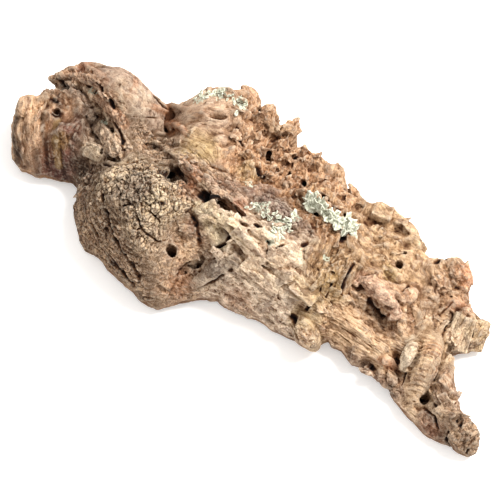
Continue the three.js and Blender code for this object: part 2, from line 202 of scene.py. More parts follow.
def smoothed(values, edges, rounds):
    """Each vertex's value moved halfway to its neighbours' mean, several times."""
    count = len(values)
    ends = np.concatenate([edges[:, 0], edges[:, 1]])
    others = np.concatenate([edges[:, 1], edges[:, 0]])
    near = np.maximum(np.bincount(ends, minlength=count), 1)[:, None]
    for _ in range(rounds):
        sums = [np.bincount(ends, values[others, k], minlength=count) for k in range(values.shape[1])]
        values = (values + np.stack(sums, 1) / near) / 2
    return values


# Noise, in whatever unit the points are divided by


def corner_values(corners, seed):
    """A random number from 0 to 1 for each corner of a unit grid."""
    n = corners.astype(np.int64)
    h = n[..., 0] * 374761393 + n[..., 1] * 668265263 + n[..., 2] * 1440662683 + seed * 974634777
    h = ((h & 0xFFFFFFFF) ^ ((h & 0xFFFFFFFF) >> 13)) * 1274126177
    h = (h & 0xFFFFFFFF) ^ ((h & 0xFFFFFFFF) >> 16)
    return h / 0xFFFFFFFF


def smooth_noise(p, seed):
    """Values from -1 to 1 that change smoothly over a unit."""
    base = np.floor(p)
    t = p - base
    t = t * t * (3 - 2 * t)
    total = np.zeros(len(p))
    for corner in np.ndindex(2, 2, 2):
        weight = np.prod(np.where(corner, t, 1 - t), axis=1)
        total += weight * corner_values(base + corner, seed)
    return total * 2 - 1


def layered_noise(p, seed, octaves=3):
    """Smooth noise with finer, weaker noise laid over it."""
    total = np.zeros(len(p))
    for k in range(octaves):
        total += smooth_noise(p * 2.03**k + 17.3 * k, seed + k) / 2**k
    return total / 1.5


def cell_noise(p, seed):
    """Each point's cell: how far in from its border it is, the cell's random number, and its tilted top."""
    base = np.floor(p)
    nearest = np.full(len(p), 9.0)
    second = np.full(len(p), 9.0)
    offset = np.zeros_like(p)
    owner = np.zeros_like(p)
    for step in np.ndindex(3, 3, 3):
        corner = base + step - 1
        spot = corner + np.stack([corner_values(corner, seed + k) for k in (1, 2, 3)], 1)
        away = p - spot
        gap = np.sqrt((away * away).sum(1))
        closer = gap < nearest
        second = np.where(closer, nearest, np.minimum(second, gap))
        offset = np.where(closer[:, None], away, offset)
        owner = np.where(closer[:, None], corner, owner)
        nearest = np.minimum(nearest, gap)
    tilt = np.stack([corner_values(owner, seed + k) for k in (4, 5, 6)], 1) * 2 - 1
    return second - nearest, corner_values(owner, seed), (tilt * offset).sum(1)


def ramp(values, low, high):
    """0 below low, 1 above high, and a smooth rise between."""
    t = np.clip((values - low) / (high - low), 0, 1)
    return t * t * (3 - 2 * t)


# The bark's regions. Millimetres in the frame: the middle, length, width and turn of an oval; the way the
# grain runs, in degrees from +X, or the point that it runs round or, with spokes, out from; and then how
# each kind of relief is cut: crumbs as size and height, plates as length, width and crack depth, flakes
# as length, width and step, fibres as spacing and depth, growth bands across the grain as spacing and
# height, wrinkles as height, and pits as size and depth. Chips are loose plates scattered there: how many,
# length, width and thickness. Squat shortens the grain's features. Tone is the bark's colour, and stripes
# are its bands: spacing and strength. Cracked and streaks say how far hair cracks and streaks show.
REGIONS = {
    "stub": dict(at=(-134, -27), size=(38, 52), grain=129, flakes=(20, 5, 0.2), fibres=(1.2, 0.25),
        bands=(5, 0.4), chips=(6, 14, 3, 1.5), stripes=(3.4, 0.6), streaks=0.8, cracked=0.1,
        tone="#C6A588"),
    "stub_arcs": dict(at=(-112, -28), size=(20, 34), round=(-92, -12), flakes=(14, 4, 0.2),
        fibres=(1.2, 0.25), bands=(4.5, 0.4), stripes=(2.8, 0.5), streaks=0.8, cracked=0.2,
        tone="#674640"),
    "stub_lip": dict(at=(-134, -8), size=(28, 12), turn=-15, grain=-20, crumbs=(4, 0.5),
        flakes=(8, 4, 0.5), chips=(12, 7, 3, 2), cracked=0.5, tone="#AC8A70"),
    "knob_front": dict(at=(-122, 4), size=(40, 16), turn=-5, grain=-14, crumbs=(5, 0.3),
        flakes=(16, 5, 0.6), fibres=(1.5, 0.25), chips=(18, 10, 4, 2), cracked=0.6, tone="#D8BAA0"),
    "knob": dict(at=(-104, 18), size=(46, 22), turn=3, grain=0, flakes=(16, 9, 0.22),
        fibres=(2.2, 0.12), pits=(2.5, 0.18), streaks=0.3, cracked=0.05, tone="#AE9888"),
    "planks": dict(at=(-94, -12), size=(34, 24), turn=-25, grain=-25, plates=(18, 5, 0.4),
        flakes=(18, 5, 0.4), fibres=(1.3, 0.2), chips=(16, 11, 4, 2), cracked=0.6, tone="#CDB49C"),
    "neck": dict(at=(-72, 2), size=(32, 20), turn=10, round=(-52, -26), plates=(12, 4, 0.4),
        flakes=(18, 4, 0.5), fibres=(1.3, 0.25), chips=(22, 11, 3.2, 1.8), cracked=0.7, tone="#BCA38C"),
    "dome": dict(at=(-60, 32), size=(42, 36), turn=40, round=(-84, 12), spokes=True,
        flakes=(20, 8, 0.1), fibres=(1.8, 0.1), stripes=(5, 0.08), streaks=0.5, cracked=0.15,
        tone="#E0C7B0"),
    "burl": dict(at=(-54, -33), size=(64, 43), grain=35, squat=2, plates=(10, 8, 1.1),
        flakes=(10, 7, 0.2), wrinkles=0.35, chips=(22, 7, 5, 1.6), cracked=1, tone="#DDCBB0"),
    "burl_flank": dict(at=(-66, -50), size=(64, 22), turn=-8, round=(-52, -28), plates=(18, 5, 0.8),
        flakes=(20, 4.5, 0.7), fibres=(2, 0.3), chips=(34, 12, 4, 2), cracked=0.8, tone="#B6957A"),
    # burl_left: its dark tone is partly the bark's own brown, partly painted shade on the flank that faces
    # away from the light
    "burl_left": dict(at=(-86, -36), size=(20, 36), turn=10, round=(-52, -28), plates=(14, 5, 0.5),
        flakes=(18, 4.5, 0.7), fibres=(2, 0.3), chips=(18, 10, 4, 2), cracked=0.8, tone="#806352"),
    "burl_right": dict(at=(-24, -36), size=(26, 32), turn=10, grain=-10, plates=(16, 6, 0.4),
        flakes=(16, 5, 0.4), fibres=(1.5, 0.2), chips=(12, 12, 5, 1.6), cracked=0.4, tone="#C6A88F"),
    "behind_burl": dict(at=(-40, 0), size=(60, 16), turn=-10, grain=-4, plates=(14, 4.5, 0.4),
        flakes=(14, 4.5, 0.5), fibres=(1.4, 0.25), chips=(30, 11, 4, 2), cracked=0.6, tone="#C4A893"),
    "crest": dict(at=(8, -14), size=(64, 28), turn=-6, grain=-3, plates=(22, 8, 0.35),
        flakes=(26, 5, 0.35), fibres=(1.4, 0.18), chips=(44, 15, 5, 1.4), stripes=(4, 0.1), streaks=0.4,
        cracked=0.3, tone="#F8E7D1"),
    "crest_foot": dict(at=(12, -33), size=(80, 14), turn=5, grain=0, crumbs=(5, 0.4),
        plates=(10, 5, 0.4), flakes=(10, 5, 0.4), chips=(40, 7, 4.5, 2.4), cracked=0.35,
        tone="#FBE9D5"),
    "hump": dict(at=(4, 8), size=(26, 18), grain=10, crumbs=(3.4, 0.5), flakes=(6, 4, 0.5),
        chips=(12, 5, 4, 1.6), cracked=0.5, tone="#AA968A"),
    "back": dict(at=(-18, 40), size=(100, 40), turn=-3, grain=120, crumbs=(6, 0.25),
        flakes=(9, 5, 0.42), fibres=(2, 0.15), chips=(110, 8, 4.5, 2), cracked=0.4, tone="#CDA684"),
    "ledge": dict(at=(18, 22), size=(44, 16), turn=-5, grain=115, crumbs=(5, 0.3), flakes=(8, 5, 0.5),
        chips=(34, 7, 3.5, 2.2), cracked=0.4, tone="#BC9775"),
    "shoulder": dict(at=(54, 34), size=(50, 40), grain=-10, crumbs=(5, 0.12), flakes=(10, 7, 0.22),
        pits=(3, 0.25), chips=(12, 8, 6, 1), cracked=0.3, tone="#D4B795"),
    "splits": dict(at=(42, 3), size=(30, 22), turn=70, grain=108, plates=(22, 5, 0.4),
        flakes=(18, 5, 0.4), fibres=(1.6, 0.25), chips=(16, 12, 4, 1.8), cracked=0.5, tone="#B89B78"),
    "rolls": dict(at=(68, 8), size=(34, 26), grain=-5, crumbs=(4, 0.25), flakes=(10, 5, 0.4),
        chips=(18, 7, 3.5, 1.8), cracked=0.4, tone="#D1AF91"),
    "stripes": dict(at=(66, -15), size=(60, 24), turn=-8, grain=0, flakes=(60, 3.4, 0.25),
        fibres=(0.95, 0.4), stripes=(2.4, 0.14), streaks=1.3, cracked=0.1, tone="#DDC0A0"),
    "shoulder_lumps": dict(at=(90, 40), size=(30, 30), grain=-30, crumbs=(5, 0.25), flakes=(9, 6, 0.45),
        chips=(30, 7, 4, 2.2), cracked=0.4, tone="#D3B193"),
    "log": dict(at=(106, -10), size=(46, 12), turn=-72, grain=14, fibres=(1.4, 0.4), bands=(2.2, 0.6),
        stripes=(2, 0.12), streaks=0.8, cracked=0.05, tone="#EDD3B4"),
    "toe": dict(at=(124, -14), size=(30, 20), turn=-30, grain=-25, flakes=(12, 6, 0.35),
        fibres=(1.8, 0.25), chips=(5, 12, 5, 1.4), stripes=(4, 0.12), streaks=0.6, cracked=0.5,
        tone="#B59882"),
    "toe_end": dict(at=(142, -20), size=(22, 16), grain=105, plates=(9, 5, 0.5), flakes=(9, 4, 0.3),
        fibres=(1.5, 0.25), chips=(8, 8, 4, 1.8), stripes=(3, 0.12), streaks=0.7, cracked=0.7,
        tone="#A88C76"),
    "tail": dict(at=(106, 24), size=(28, 30), turn=-20, grain=-75, plates=(24, 5, 0.5),
        flakes=(24, 5, 0.25), fibres=(1.5, 0.3), chips=(6, 14, 4, 1.6), stripes=(4, 0.12), streaks=0.7,
        cracked=0.4, tone="#D8C0A5"),
    "front_skirt": dict(at=(84, -24), size=(50, 12), turn=0, grain=0, crumbs=(5, 0.6),
        flakes=(8, 4, 0.5), chips=(30, 8, 4.5, 1.8), cracked=0.5, tone="#F2D6C0"),
}

# The inner face, which the growing wood lay against: even, warm, with short raised lenticels. Its tone,
# which also goes on faces that turn downwards, is darker than the cork's own, as painted shade on the
# undersides
INNER_FACE = dict(grain=0, fibres=(2.4, 0.15), flakes=(26, 12, 0.15), cracked=0.2, tone="#947257")

# Creases and pits: width and depth in millimetres, then the pixels that they run through
CREASES = {
    "slit_on_burl": (1.6, 3.2, (124, 176), (136, 174.5), (156, 177.5)),
    "cavity_behind_burl": (7, 2.9, (160, 171), (168, 175), (178, 173)),
    "cavity_tail": (4, 3.6, (170, 176), (171, 182)),
    "gap_under_planks": (2, 1.3, (103, 164), (110, 165.5), (117, 165)),
    "beside_plank": (2, 2.2, (104, 141), (108, 152), (108, 160)),
    "plank_far_side": (2, 1.6, (113, 122), (119, 130), (124, 140), (121, 150)),
    "neck_to_dome": (2, 1.8, (146, 144), (160, 149), (172, 153), (179, 157)),
    "neck_fold": (1.8, 1.7, (118, 158), (126, 147), (140, 143)),
    "neck_fold_low": (1.8, 1.7, (125, 166), (140, 160), (156, 160)),
    "burl_crack_a": (1.2, 1.1, (137, 216), (139, 222), (142, 230)),
    "burl_crack_b": (1.1, 1, (148, 210), (155, 216), (160, 222)),
    "burl_crack_c": (1.1, 1, (142, 230), (150, 236), (158, 242), (166, 240)),
    "burl_crack_d": (1.3, 1.4, (113, 203), (124, 206), (134, 203)),
    "burl_crack_e": (1.3, 1.4, (122, 230), (131, 230), (140, 229)),
    "burl_rim_fold": (2.6, 1.2, (103, 187), (103, 198), (107, 212), (112, 228), (118, 246), (127, 258),
                              (134, 268), (140, 280)),
    "burl_left_fold": (2.6, 1.5, (88, 195), (90, 212), (96, 232), (105, 250), (116, 266)),
    "burl_low_fold": (3, 1.6, (110, 256), (122, 272), (134, 286)),
    "burl_pit": (2, 1.8, (161, 203), (163, 204)),
    "right_of_burl": (2.4, 0.9, (190, 212), (196, 224), (199, 236), (200, 246)),
    "right_of_burl_low": (2.2, 1.4, (190, 261), (181, 269), (178, 274)),
    "under_plate_end": (2, 2.5, (219, 219), (223, 227), (229, 235), (226, 243), (218, 248)),
    "long_cleft": (6, 5, (203, 195), (209, 198), (214, 201), (221, 207)),
    "red_groove": (1.6, 1.8, (231, 203), (238, 212), (245, 221)),
    "grey_log_under": (1.8, 1.2, (205, 285), (214, 281), (223, 275), (232, 270)),
    "grey_log_over": (1.4, 0.9, (192, 274), (203, 262), (214, 258), (232, 255)),
    "below_hump": (2.4, 2.2, (256, 224), (260, 227)),
    "crescent": (1.3, 1.6, (264, 237), (269, 243), (268, 250), (265, 251)),
    "crescent_b": (1.4, 1.7, (276, 248), (285, 244)),
    "pit_mid": (2.6, 2.4, (303, 245), (307, 243)),
    "stub_step": (5, 0.5, (18, 112), (16, 130), (17, 150), (22, 166)),
    "stub_band_a": (1, 0.3, (36, 104), (33, 130), (34, 168)),
    "stub_band_c": (1.4, 0.4, (63, 116), (60, 134), (61, 160), (66, 176)),
    "stub_arc_a": (1.2, 0.4, (70, 122), (67, 136), (71, 150)),
    "stub_arc_c": (1.2, 0.4, (86, 124), (87, 136), (91, 146)),
    "stub_pit": (4, 2.2, (53, 113), (57, 114.5), (61, 114)),
    "lip_mouth": (3, 3.6, (52, 99), (57, 101)),
    "stub_to_knob": (2.2, 1.3, (74, 88), (84, 98), (91, 108), (96, 120)),
    "stub_to_planks": (2.2, 2, (94, 116), (97, 128), (102, 141)),
    "knob_crease": (2, 2.2, (92, 72), (98, 82), (104, 92), (114, 108)),
    "knob_crease_b": (1.3, 1, (120, 84), (118, 94), (124, 104)),
    "knob_line": (1, 0.8, (134, 117), (150, 117.5), (168, 119)),
    "knob_brow": (1.6, 1.4, (154, 96), (164, 106), (170, 115)),
    "hook_notch": (4, 4.3, (58, 80), (63, 84), (66, 89)),
    "dome_foot": (1.6, 0.7, (206, 164), (216, 168), (226, 172)),
    "back_pit_a": (4, 1.4, (269, 152), (271, 156)),
    "back_pit_b": (4, 2.9, (258, 170), (263, 176)),
    "back_pit_c": (3, 2.9, (303, 182), (305, 185)),
    "back_groove_a": (2, 1.6, (237, 128), (240, 140), (246, 150)),
    "back_groove_c": (2, 1.5, (300, 152), (292, 164), (290, 176)),
    "ledge_shadow": (2.4, 1.4, (306, 206), (312, 212), (318, 215)),
    "ledge_shadow_b": (3, 2.9, (341, 230), (343, 236), (342, 241)),
    "ledge_back": (2.6, 2.2, (322, 196), (334, 206), (346, 216)),
    "shoulder_hole_small": (2.6, 1.8, (399, 250), (400.5, 253)),
    "split_a": (1.3, 1.8, (338, 270), (333, 280), (329, 290), (326, 297)),
    "split_b": (1.8, 2.2, (354, 264), (348, 274), (344, 284), (342, 295)),
    "under_pink_roll": (4, 2.2, (369, 300), (375, 309), (382, 315), (390, 316)),
    "between_rolls": (2, 1.4, (398, 300), (403, 293), (409, 286)),
    "stripe_start": (2.2, 2.5, (315, 297), (310, 304), (306, 310)),
    "stripe_a": (1, 0.6, (318, 303), (346, 320), (376, 340), (398, 358)),
    "stripe_b": (1, 0.6, (316, 310), (342, 328), (368, 345), (388, 360)),
    "stripe_c": (1, 0.5, (330, 302), (356, 318), (384, 334)),
    "stripe_d": (1, 0.5, (322, 322), (344, 338), (366, 354)),
    "peg_shadow": (4, 2.4, (293, 316), (295, 327), (299, 338)),
    "flake_pocket": (4, 0.8, (396, 352), (396, 360), (400, 365)),
    "front_hole_a": (3, 2.9, (370, 366), (373, 369)),
    "front_hole_b": (3.4, 2.9, (385, 388), (388, 391)),
    "log_left": (1.3, 0.9, (417, 344), (411, 358), (404, 378), (400, 394)),
    "log_right": (1.3, 0.9, (447, 336), (440, 356), (434, 374), (427, 389)),
    "log_rib": (1.2, 0.9, (434, 346), (426, 364), (419, 382)),
    "log_to_toe": (1.6, 1.7, (427, 389), (421, 395), (414, 402)),
    "toe_block": (2, 2.5, (457, 421), (449, 432), (446, 441), (451, 448)),
    "toe_crack_a": (1.4, 2.2, (462, 412), (463, 420), (460, 426)),
    "toe_crack_b": (1.4, 1.9, (449, 402), (455, 404), (459, 400)),
    "toe_crack_c": (1.4, 1.7, (472, 440), (469, 448), (466, 454)),
    "toe_ripple_a": (2, 1.2, (424, 408), (434, 416), (438, 430)),
    "toe_ripple_b": (2, 1.2, (434, 404), (444, 414), (446, 428)),
    "behind_lump": (3.4, 2, (436, 262), (442, 257), (446, 254)),
    "purple_groove": (2, 0.9, (452, 302), (446, 308), (440, 316)),
    "tail_ply_a": (1.6, 2, (464, 317), (459, 331), (454, 346)),
    "tail_ply_b": (2, 2.4, (477, 318), (471, 334), (466, 350)),
    "tail_ply_c": (1.2, 0.9, (452, 314), (446, 326), (442, 338)),
    "tail_hole": (3, 2.9, (446, 320), (450, 321)),
    "log_groove_a": (0.9, 0.6, (431, 344), (424, 362), (416, 384)),
    "log_groove_b": (0.9, 0.6, (438, 348), (431, 366), (423, 388)),
    "stub_band_b": (4, 0.45, (47, 118), (46, 145), (48, 170)),
    "splits_long": (1.1, 1.4, (318, 268), (322, 280), (320, 294)),
}

# How far plates and rolls are sunk into what they lie on, in millimetres
PLATE_SINK = 0.8
ROLL_SINK = 0.6
ROLL_SIDES = 12

# Flat plates that stand proud: width, thickness and lift in millimetres, and the pixels of their two ends
PLATES = {
    "plank": (7, 4, 2.4, (98, 123), (117, 152)),
    "pale_chip": (8, 3.5, 2.6, (88, 149), (100, 153)),
    "chip_below": (6, 3, 0.6, (92, 158), (103, 160)),
    "square_plate": (12, 6, 3, (205, 206), (223, 240)),
    "plate_shard": (6, 3, 1, (222, 218), (242, 236)),
    "hole_side_plate": (7, 3, 0.5, (190, 243), (190, 262)),
    "slit_flap": (6, 3, 1.4, (140, 168), (157, 171)),
    "cavity_floor": (6, 3, 0.2, (176, 184), (192, 192)),
    "flat_chip": (7, 3, 1.4, (352, 296), (366, 304)),
    "shoulder_corner": (9, 5, 0.1, (378, 202), (392, 206)),
    "crest_plate_a": (8, 3, 1.1, (236, 230), (262, 262)),
    "crest_plate_b": (8, 3, 0.9, (246, 262), (276, 288)),
    "crest_plate_c": (7, 2.6, 0.9, (272, 256), (302, 288)),
    "crest_plate_d": (6, 2.4, 0.9, (232, 256), (252, 284)),
    "crest_end": (9, 3, 0.9, (296, 282), (314, 300)),
    "tail_ply_a": (6, 4, 1.6, (459, 316), (450, 344)),
    "tail_ply_b": (6, 4, 2, (469, 320), (460, 350)),
    "tail_block": (8, 6, 2, (482, 321), (474, 349)),
}

# Rolls, ribs and folds: width, height and lift in millimetres, and the pixels that they run through
ROLLS = {
    "stub_end": (6, 6, 0.8, (24, 102), (21, 116), (20, 135), (21, 152), (26, 167)),
    "lip_roll": (4, 3, 1.2, (42, 98), (50, 94), (58, 98), (60, 106)),
    "lip_tip": (3, 2.6, 1.4, (48, 93), (54, 97)),
    "hook_upper": (4, 3.4, 1, (54, 79), (61, 75), (70, 78), (74, 88)),
    "hook_rim": (6, 4, 0.8, (64, 74), (72, 64), (84, 62)),
    "knob_streak": (6, 4, 1.6, (94, 93), (104, 104), (116, 114), (124, 124)),
    "knob_left": (5, 3, 0.8, (80, 84), (92, 96), (100, 108)),
    "knob_step": (5, 2.6, 0.5, (121, 82), (118, 92), (122, 104)),
    "knob_rim": (3.4, 2.4, 0.7, (136, 79), (150, 88), (162, 100), (169, 112)),
    "pinch_curl": (3.4, 3, 1.4, (168, 121), (175, 125), (182, 129), (190, 136)),
    "pinch_back": (4, 3, 0.4, (166, 112), (170, 104), (172, 99)),
    "dome_front": (6, 2.6, 0.1, (176, 146), (190, 158), (206, 168), (222, 176)),
    "neck_strip_a": (3.4, 2.4, 1, (112, 158), (122, 148), (136, 141), (150, 142)),
    "neck_strip_b": (4, 2.6, 1, (120, 164), (132, 156), (148, 151), (162, 156)),
    "neck_strip_c": (3, 2.4, 1, (150, 140), (162, 145), (174, 154), (184, 164)),
    "cavity_rim": (4.4, 3, 1.2, (158, 164), (172, 162), (184, 168), (196, 178), (206, 188)),
    "cavity_near": (5, 3, 0.8, (158, 178), (166, 186), (178, 192), (186, 200)),
    "burl_rim": (9, 5, 0.5, (96, 176), (90, 192), (91, 212), (98, 234), (110, 254), (122, 272), (136, 290)),
    "burl_skirt": (8, 5, 0.4, (82, 184), (79, 204), (84, 226), (96, 248), (110, 268), (128, 286)),
    "burl_brow": (6, 3, 0.5, (106, 176), (124, 168), (142, 166)),
    "burl_nose": (8, 4, 0.4, (172, 268), (170, 284), (164, 298)),
    "burl_cheek": (6, 3, 0.4, (120, 214), (128, 232), (142, 250), (156, 264)),
    "cleft_rim": (4, 3, 1.6, (198, 184), (212, 189), (228, 196)),
    "cleft_ridge": (6, 3.4, 0.8, (222, 182), (236, 188), (250, 192)),
    "grey_log": (8, 6, 1.6, (190, 286), (204, 276), (218, 268), (236, 260)),
    "grey_log_end": (5, 4, 0.8, (186, 292), (198, 290), (210, 284)),
    "hump_crest": (5, 3, 0.6, (248, 190), (262, 187), (276, 191)),
    "hump_front": (6, 3, 0.8, (250, 228), (264, 236), (276, 238)),
    "ledge_rim": (5, 4, 1.2, (304, 196), (318, 206), (334, 216), (350, 230)),
    "ledge_back": (6, 4, 1.2, (312, 186), (326, 194), (342, 206), (356, 220)),
    "back_knob_a": (7, 5, 0.6, (258, 116), (268, 118), (274, 128)),
    "back_knob_b": (7, 5, 0.6, (280, 128), (292, 132), (294, 144)),
    "back_edge_lump": (9, 6, 1, (326, 164), (338, 172), (344, 184)),
    "mid_roll_a": (5, 3, 0.7, (300, 232), (314, 240), (326, 252)),
    "mid_roll_b": (5, 3, 0.7, (282, 242), (296, 254), (306, 268)),
    "split_rib_b": (3, 2.6, 0.4, (358, 264), (351, 278), (348, 292)),
    "split_foot": (4, 3, 0.8, (342, 296), (352, 300), (362, 306)),
    "pink_roll": (8, 8, 4.2, (364, 280), (373, 286), (384, 295), (395, 306)),
    "pink_roll_hook": (5, 5, 3, (395, 306), (397, 313), (388, 317)),
    "short_roll": (8, 6.5, 3, (400, 301), (408, 297), (416, 291)),
    "long_fold": (5, 3.4, 0.8, (404, 306), (402, 322), (404, 338)),
    "fold_beside": (5, 3.4, 0.8, (416, 304), (418, 318), (424, 330)),
    "peg": (11, 11, 4, (298, 318), (302, 325), (308, 334), (313, 343), (316, 350)),
    "white_flake": (6.4, 8, 3.6, (405, 366), (407, 357), (411, 348), (414, 343)),
    "flake_foot": (5, 4, 1, (398, 368), (406, 370)),
    "orange_crumb": (5, 4, 1.8, (382, 360), (390, 362), (397, 369)),
    "crumb_low": (6, 4, 1, (380, 370), (384, 380), (392, 388)),
    "log_body": (15, 10, 2.2, (436, 328), (428, 350), (420, 372), (413, 394)),
    "toe_back": (12, 5, 0.4, (446, 350), (443, 370), (436, 390), (440, 406)),
    "toe_fold": (8, 4, 0.4, (424, 402), (438, 408), (446, 424), (452, 438)),
    "toe_block": (12, 5, 0.4, (462, 418), (468, 434), (472, 450)),
    "toe_tuft": (4, 3, 1.2, (452, 398), (460, 402), (468, 410)),
    "shoulder_lump": (9, 6, 1, (444, 256), (454, 264), (464, 270)),
    "orange_lump": (8, 5, 1.4, (462, 270), (472, 274), (474, 284)),
    "orange_lump_low": (6, 4, 1.2, (452, 306), (460, 306), (470, 311)),
    "lump_fold_a": (7, 4, 0.8, (430, 270), (442, 276), (454, 288)),
    "lump_fold_b": (6, 4, 0.8, (424, 284), (434, 294), (440, 306)),
    "right_edge_fold": (6, 4, 0.6, (404, 216), (416, 232), (428, 246)),
    "pinch_floor": (8, 7, 2.6, (169, 112), (170, 120), (173, 130)),
    "gutter_floor": (7, 6, 2.6, (70, 90), (80, 98), (88, 110), (94, 124)),
    "stub_corner": (16, 16, 4.6, (25, 114), (25, 107), (34, 103)),
    "stub_edge": (12, 12, 2, (19, 112), (17, 126), (17, 144), (20, 158)),
    "stub_band": (4, 2.4, 0.2, (58, 120), (56, 140), (59, 166)),
}

# The colours of forms that differ from their region, and how strongly each shows; the dark tones of the
# gutter's floor, the pinch's floor and the stub's edge are painted shade. Others are worn a little paler.
WORN_TONE = ("#D9C4A6", 0.25)
FORM_TONES = {
    "stub_end": ("#A88B70", 0.4), "lip_roll": ("#6A5347", 0.6), "hook_rim": ("#C79A7C", 0.4),
    # gutter_floor: painted shade on the floor of the gutter between the stub and the knob
    "knob_streak": ("#D2A586", 0.6), "gutter_floor": ("#857770", 0.6), "knob_rim": ("#BF8C6A", 0.6),
    # pinch_floor: reddish painted shade in the pinch's hollow
    "pinch_floor": ("#A8744F", 0.7), "pinch_curl": ("#C08A66", 0.7), "pinch_back": ("#A88263", 0.5),
    "plank": ("#DCC6AE", 0.8), "pale_chip": ("#E6D5BC", 0.9), "slit_flap": ("#BBA083", 0.6),
    "square_plate": ("#F2E4C6", 0.85), "plate_shard": ("#E6D4B6", 0.6), "grey_log": ("#B5A797", 0.7),
    "cleft_ridge": ("#8C6A5C", 0.5), "pink_roll": ("#E8C6AE", 0.85),
    "pink_roll_hook": ("#DDB9A2", 0.85), "short_roll": ("#DDBA9B", 0.75),
    "white_flake": ("#EADBC4", 0.95), "peg": ("#CDB68F", 0.6), "orange_crumb": ("#D3A788", 0.7),
    "log_body": ("#D6B999", 0.6), "orange_lump": ("#D3A480", 0.7), "orange_lump_low": ("#CFA184", 0.6),
    "tail_ply_a": ("#C9BBA2", 0.6), "tail_ply_b": ("#CDBFA6", 0.6), "tail_block": ("#D2BD98", 0.6),
    # stub_edge: painted shade on the stub's left end, which faces away from the light
    "crest_end": ("#DDC9A6", 0.6), "hump_crest": ("#8C7670", 0.6), "stub_edge": ("#7D6757", 0.6),
    "stub_band": ("#C2A671", 0.5), "ledge_back": ("#C3A27C", 0.5),
}


def grain_frame(region, p):
    """Points in a region, as millimetres along its grain, across it and up."""
    if "round" in region:
        x = p[:, 0] - region["round"][0]
        y = p[:, 1] - region["round"][1]
        radius = np.hypot(x, y)
        arc = np.arctan2(y, x) * np.maximum(radius.mean(), 1)
        along, across = (radius, arc) if region.get("spokes") else (arc, radius)
    else:
        c = math.cos(math.radians(region["grain"]))
        s = math.sin(math.radians(region["grain"]))
        along = p[:, 0] * c + p[:, 1] * s
        across = -p[:, 0] * s + p[:, 1] * c
    return np.stack([along * region.get("squat", 1), across, p[:, 2]], 1)


def region_shares(p, outwards):
    """How much each region has to say at each point, as a dictionary of shares that add to 1."""
    warp = np.stack([layered_noise(p / 9, 50 + k) for k in (0, 1)], 1) * 4
    shares = {}
    for name, region in REGIONS.items():
        x = p[:, 0] + warp[:, 0] - region["at"][0]
        y = p[:, 1] + warp[:, 1] - region["at"][1]
        turn = math.radians(region.get("turn", 0))
        along = (x * math.cos(turn) + y * math.sin(turn)) / (region["size"][0] / 2)
        across = (-x * math.sin(turn) + y * math.cos(turn)) / (region["size"][1] / 2)
        shares[name] = np.exp(-2.2 * (along**2 + across**2)) + 1e-12
    total = sum(shares.values())
    outer = ramp(outwards, -0.2, 0.2)
    for name in shares:
        shares[name] = shares[name] / total * outer
    shares["inner"] = 1 - outer
    return shares


def settings_of(name):
    return INNER_FACE if name == "inner" else REGIONS[name]


def region_relief(region, p, seed):
    """How far a region's surface stands out, in millimetres."""
    q = grain_frame(region, p)
    bend = np.stack([layered_noise(p / 7, seed + k, 2) for k in (20, 21, 22)], 1)
    patch = ramp(layered_noise(p / 13, seed + 25, 2), -0.35, 0.35)
    height = np.zeros(len(p))
    if "crumbs" in region:
        size, rise = region["crumbs"]
        for k in range(3):
            inwards, label, top = cell_noise((q + bend * size * 0.4) / (size / 1.9**k), seed + 10 * k)
            groove = 0.4 * (1 - ramp(inwards, 0, 0.15))
            height += rise / 2.2**k * (label - 0.5 + 1.3 * top - groove)
    if "plates" in region:
        length, width, depth = region["plates"]
        stretched = (q + bend * width * 0.6) / np.array([length, width, width])
        inwards, label, top = cell_noise(stretched, seed + 40)
        crack = (0.25 + 0.75 * patch) * (1 - ramp(inwards, 0.0, 0.12))
        height += depth * (0.7 * (label - 0.5) + 0.9 * top - crack)
        inwards, label, top = cell_noise(stretched * 2.3 + 5, seed + 44)
        crack = (1 - 0.7 * patch) * (1 - ramp(inwards, 0.0, 0.16))
        height += depth * 0.5 * (0.5 * (label - 0.5) + 0.8 * top - crack)
    if "flakes" in region:
        length, width, rise = region["flakes"]
        stretched = (q + bend * width * 0.3) / np.array([length, width, width])
        for k in range(3):
            _, label, top = cell_noise(stretched * 1.8**k, seed + 90 + 10 * k)
            height += rise / 1.6**k * (1.3 * (label - 0.5) + 1.6 * top)
    if "fibres" in region:
        spacing, depth = region["fibres"]
        stretched = (q + bend * spacing * 0.8) / np.array([spacing * 9, spacing, spacing])
        height += depth * (1 - 2 * np.abs(layered_noise(stretched, seed + 60, 3)) - 0.4)
    if "bands" in region:
        spacing, rise = region["bands"]
        across = (q[:, 1] + bend[:, 0] * 1.5) / spacing
        height += rise * (1 - 2 * (across - np.floor(across))) * 0.5
        height += rise * 0.6 * smooth_noise(np.stack([q[:, 0] / 60, across * 2.3, q[:, 2] / 60], 1), seed)
    if "wrinkles" in region:
        height += region["wrinkles"] * (1 - 3 * np.abs(layered_noise(p / 3.2 + bend * 0.4, seed + 70, 2)))
    if "pits" in region:
        size, depth = region["pits"]
        holes = layered_noise(p / size, seed + 80, 2)
        height -= depth * ramp(holes, 0.25, 0.6)
    return height + 0.16 * layered_noise(p / 1.3, seed + 95, 2)


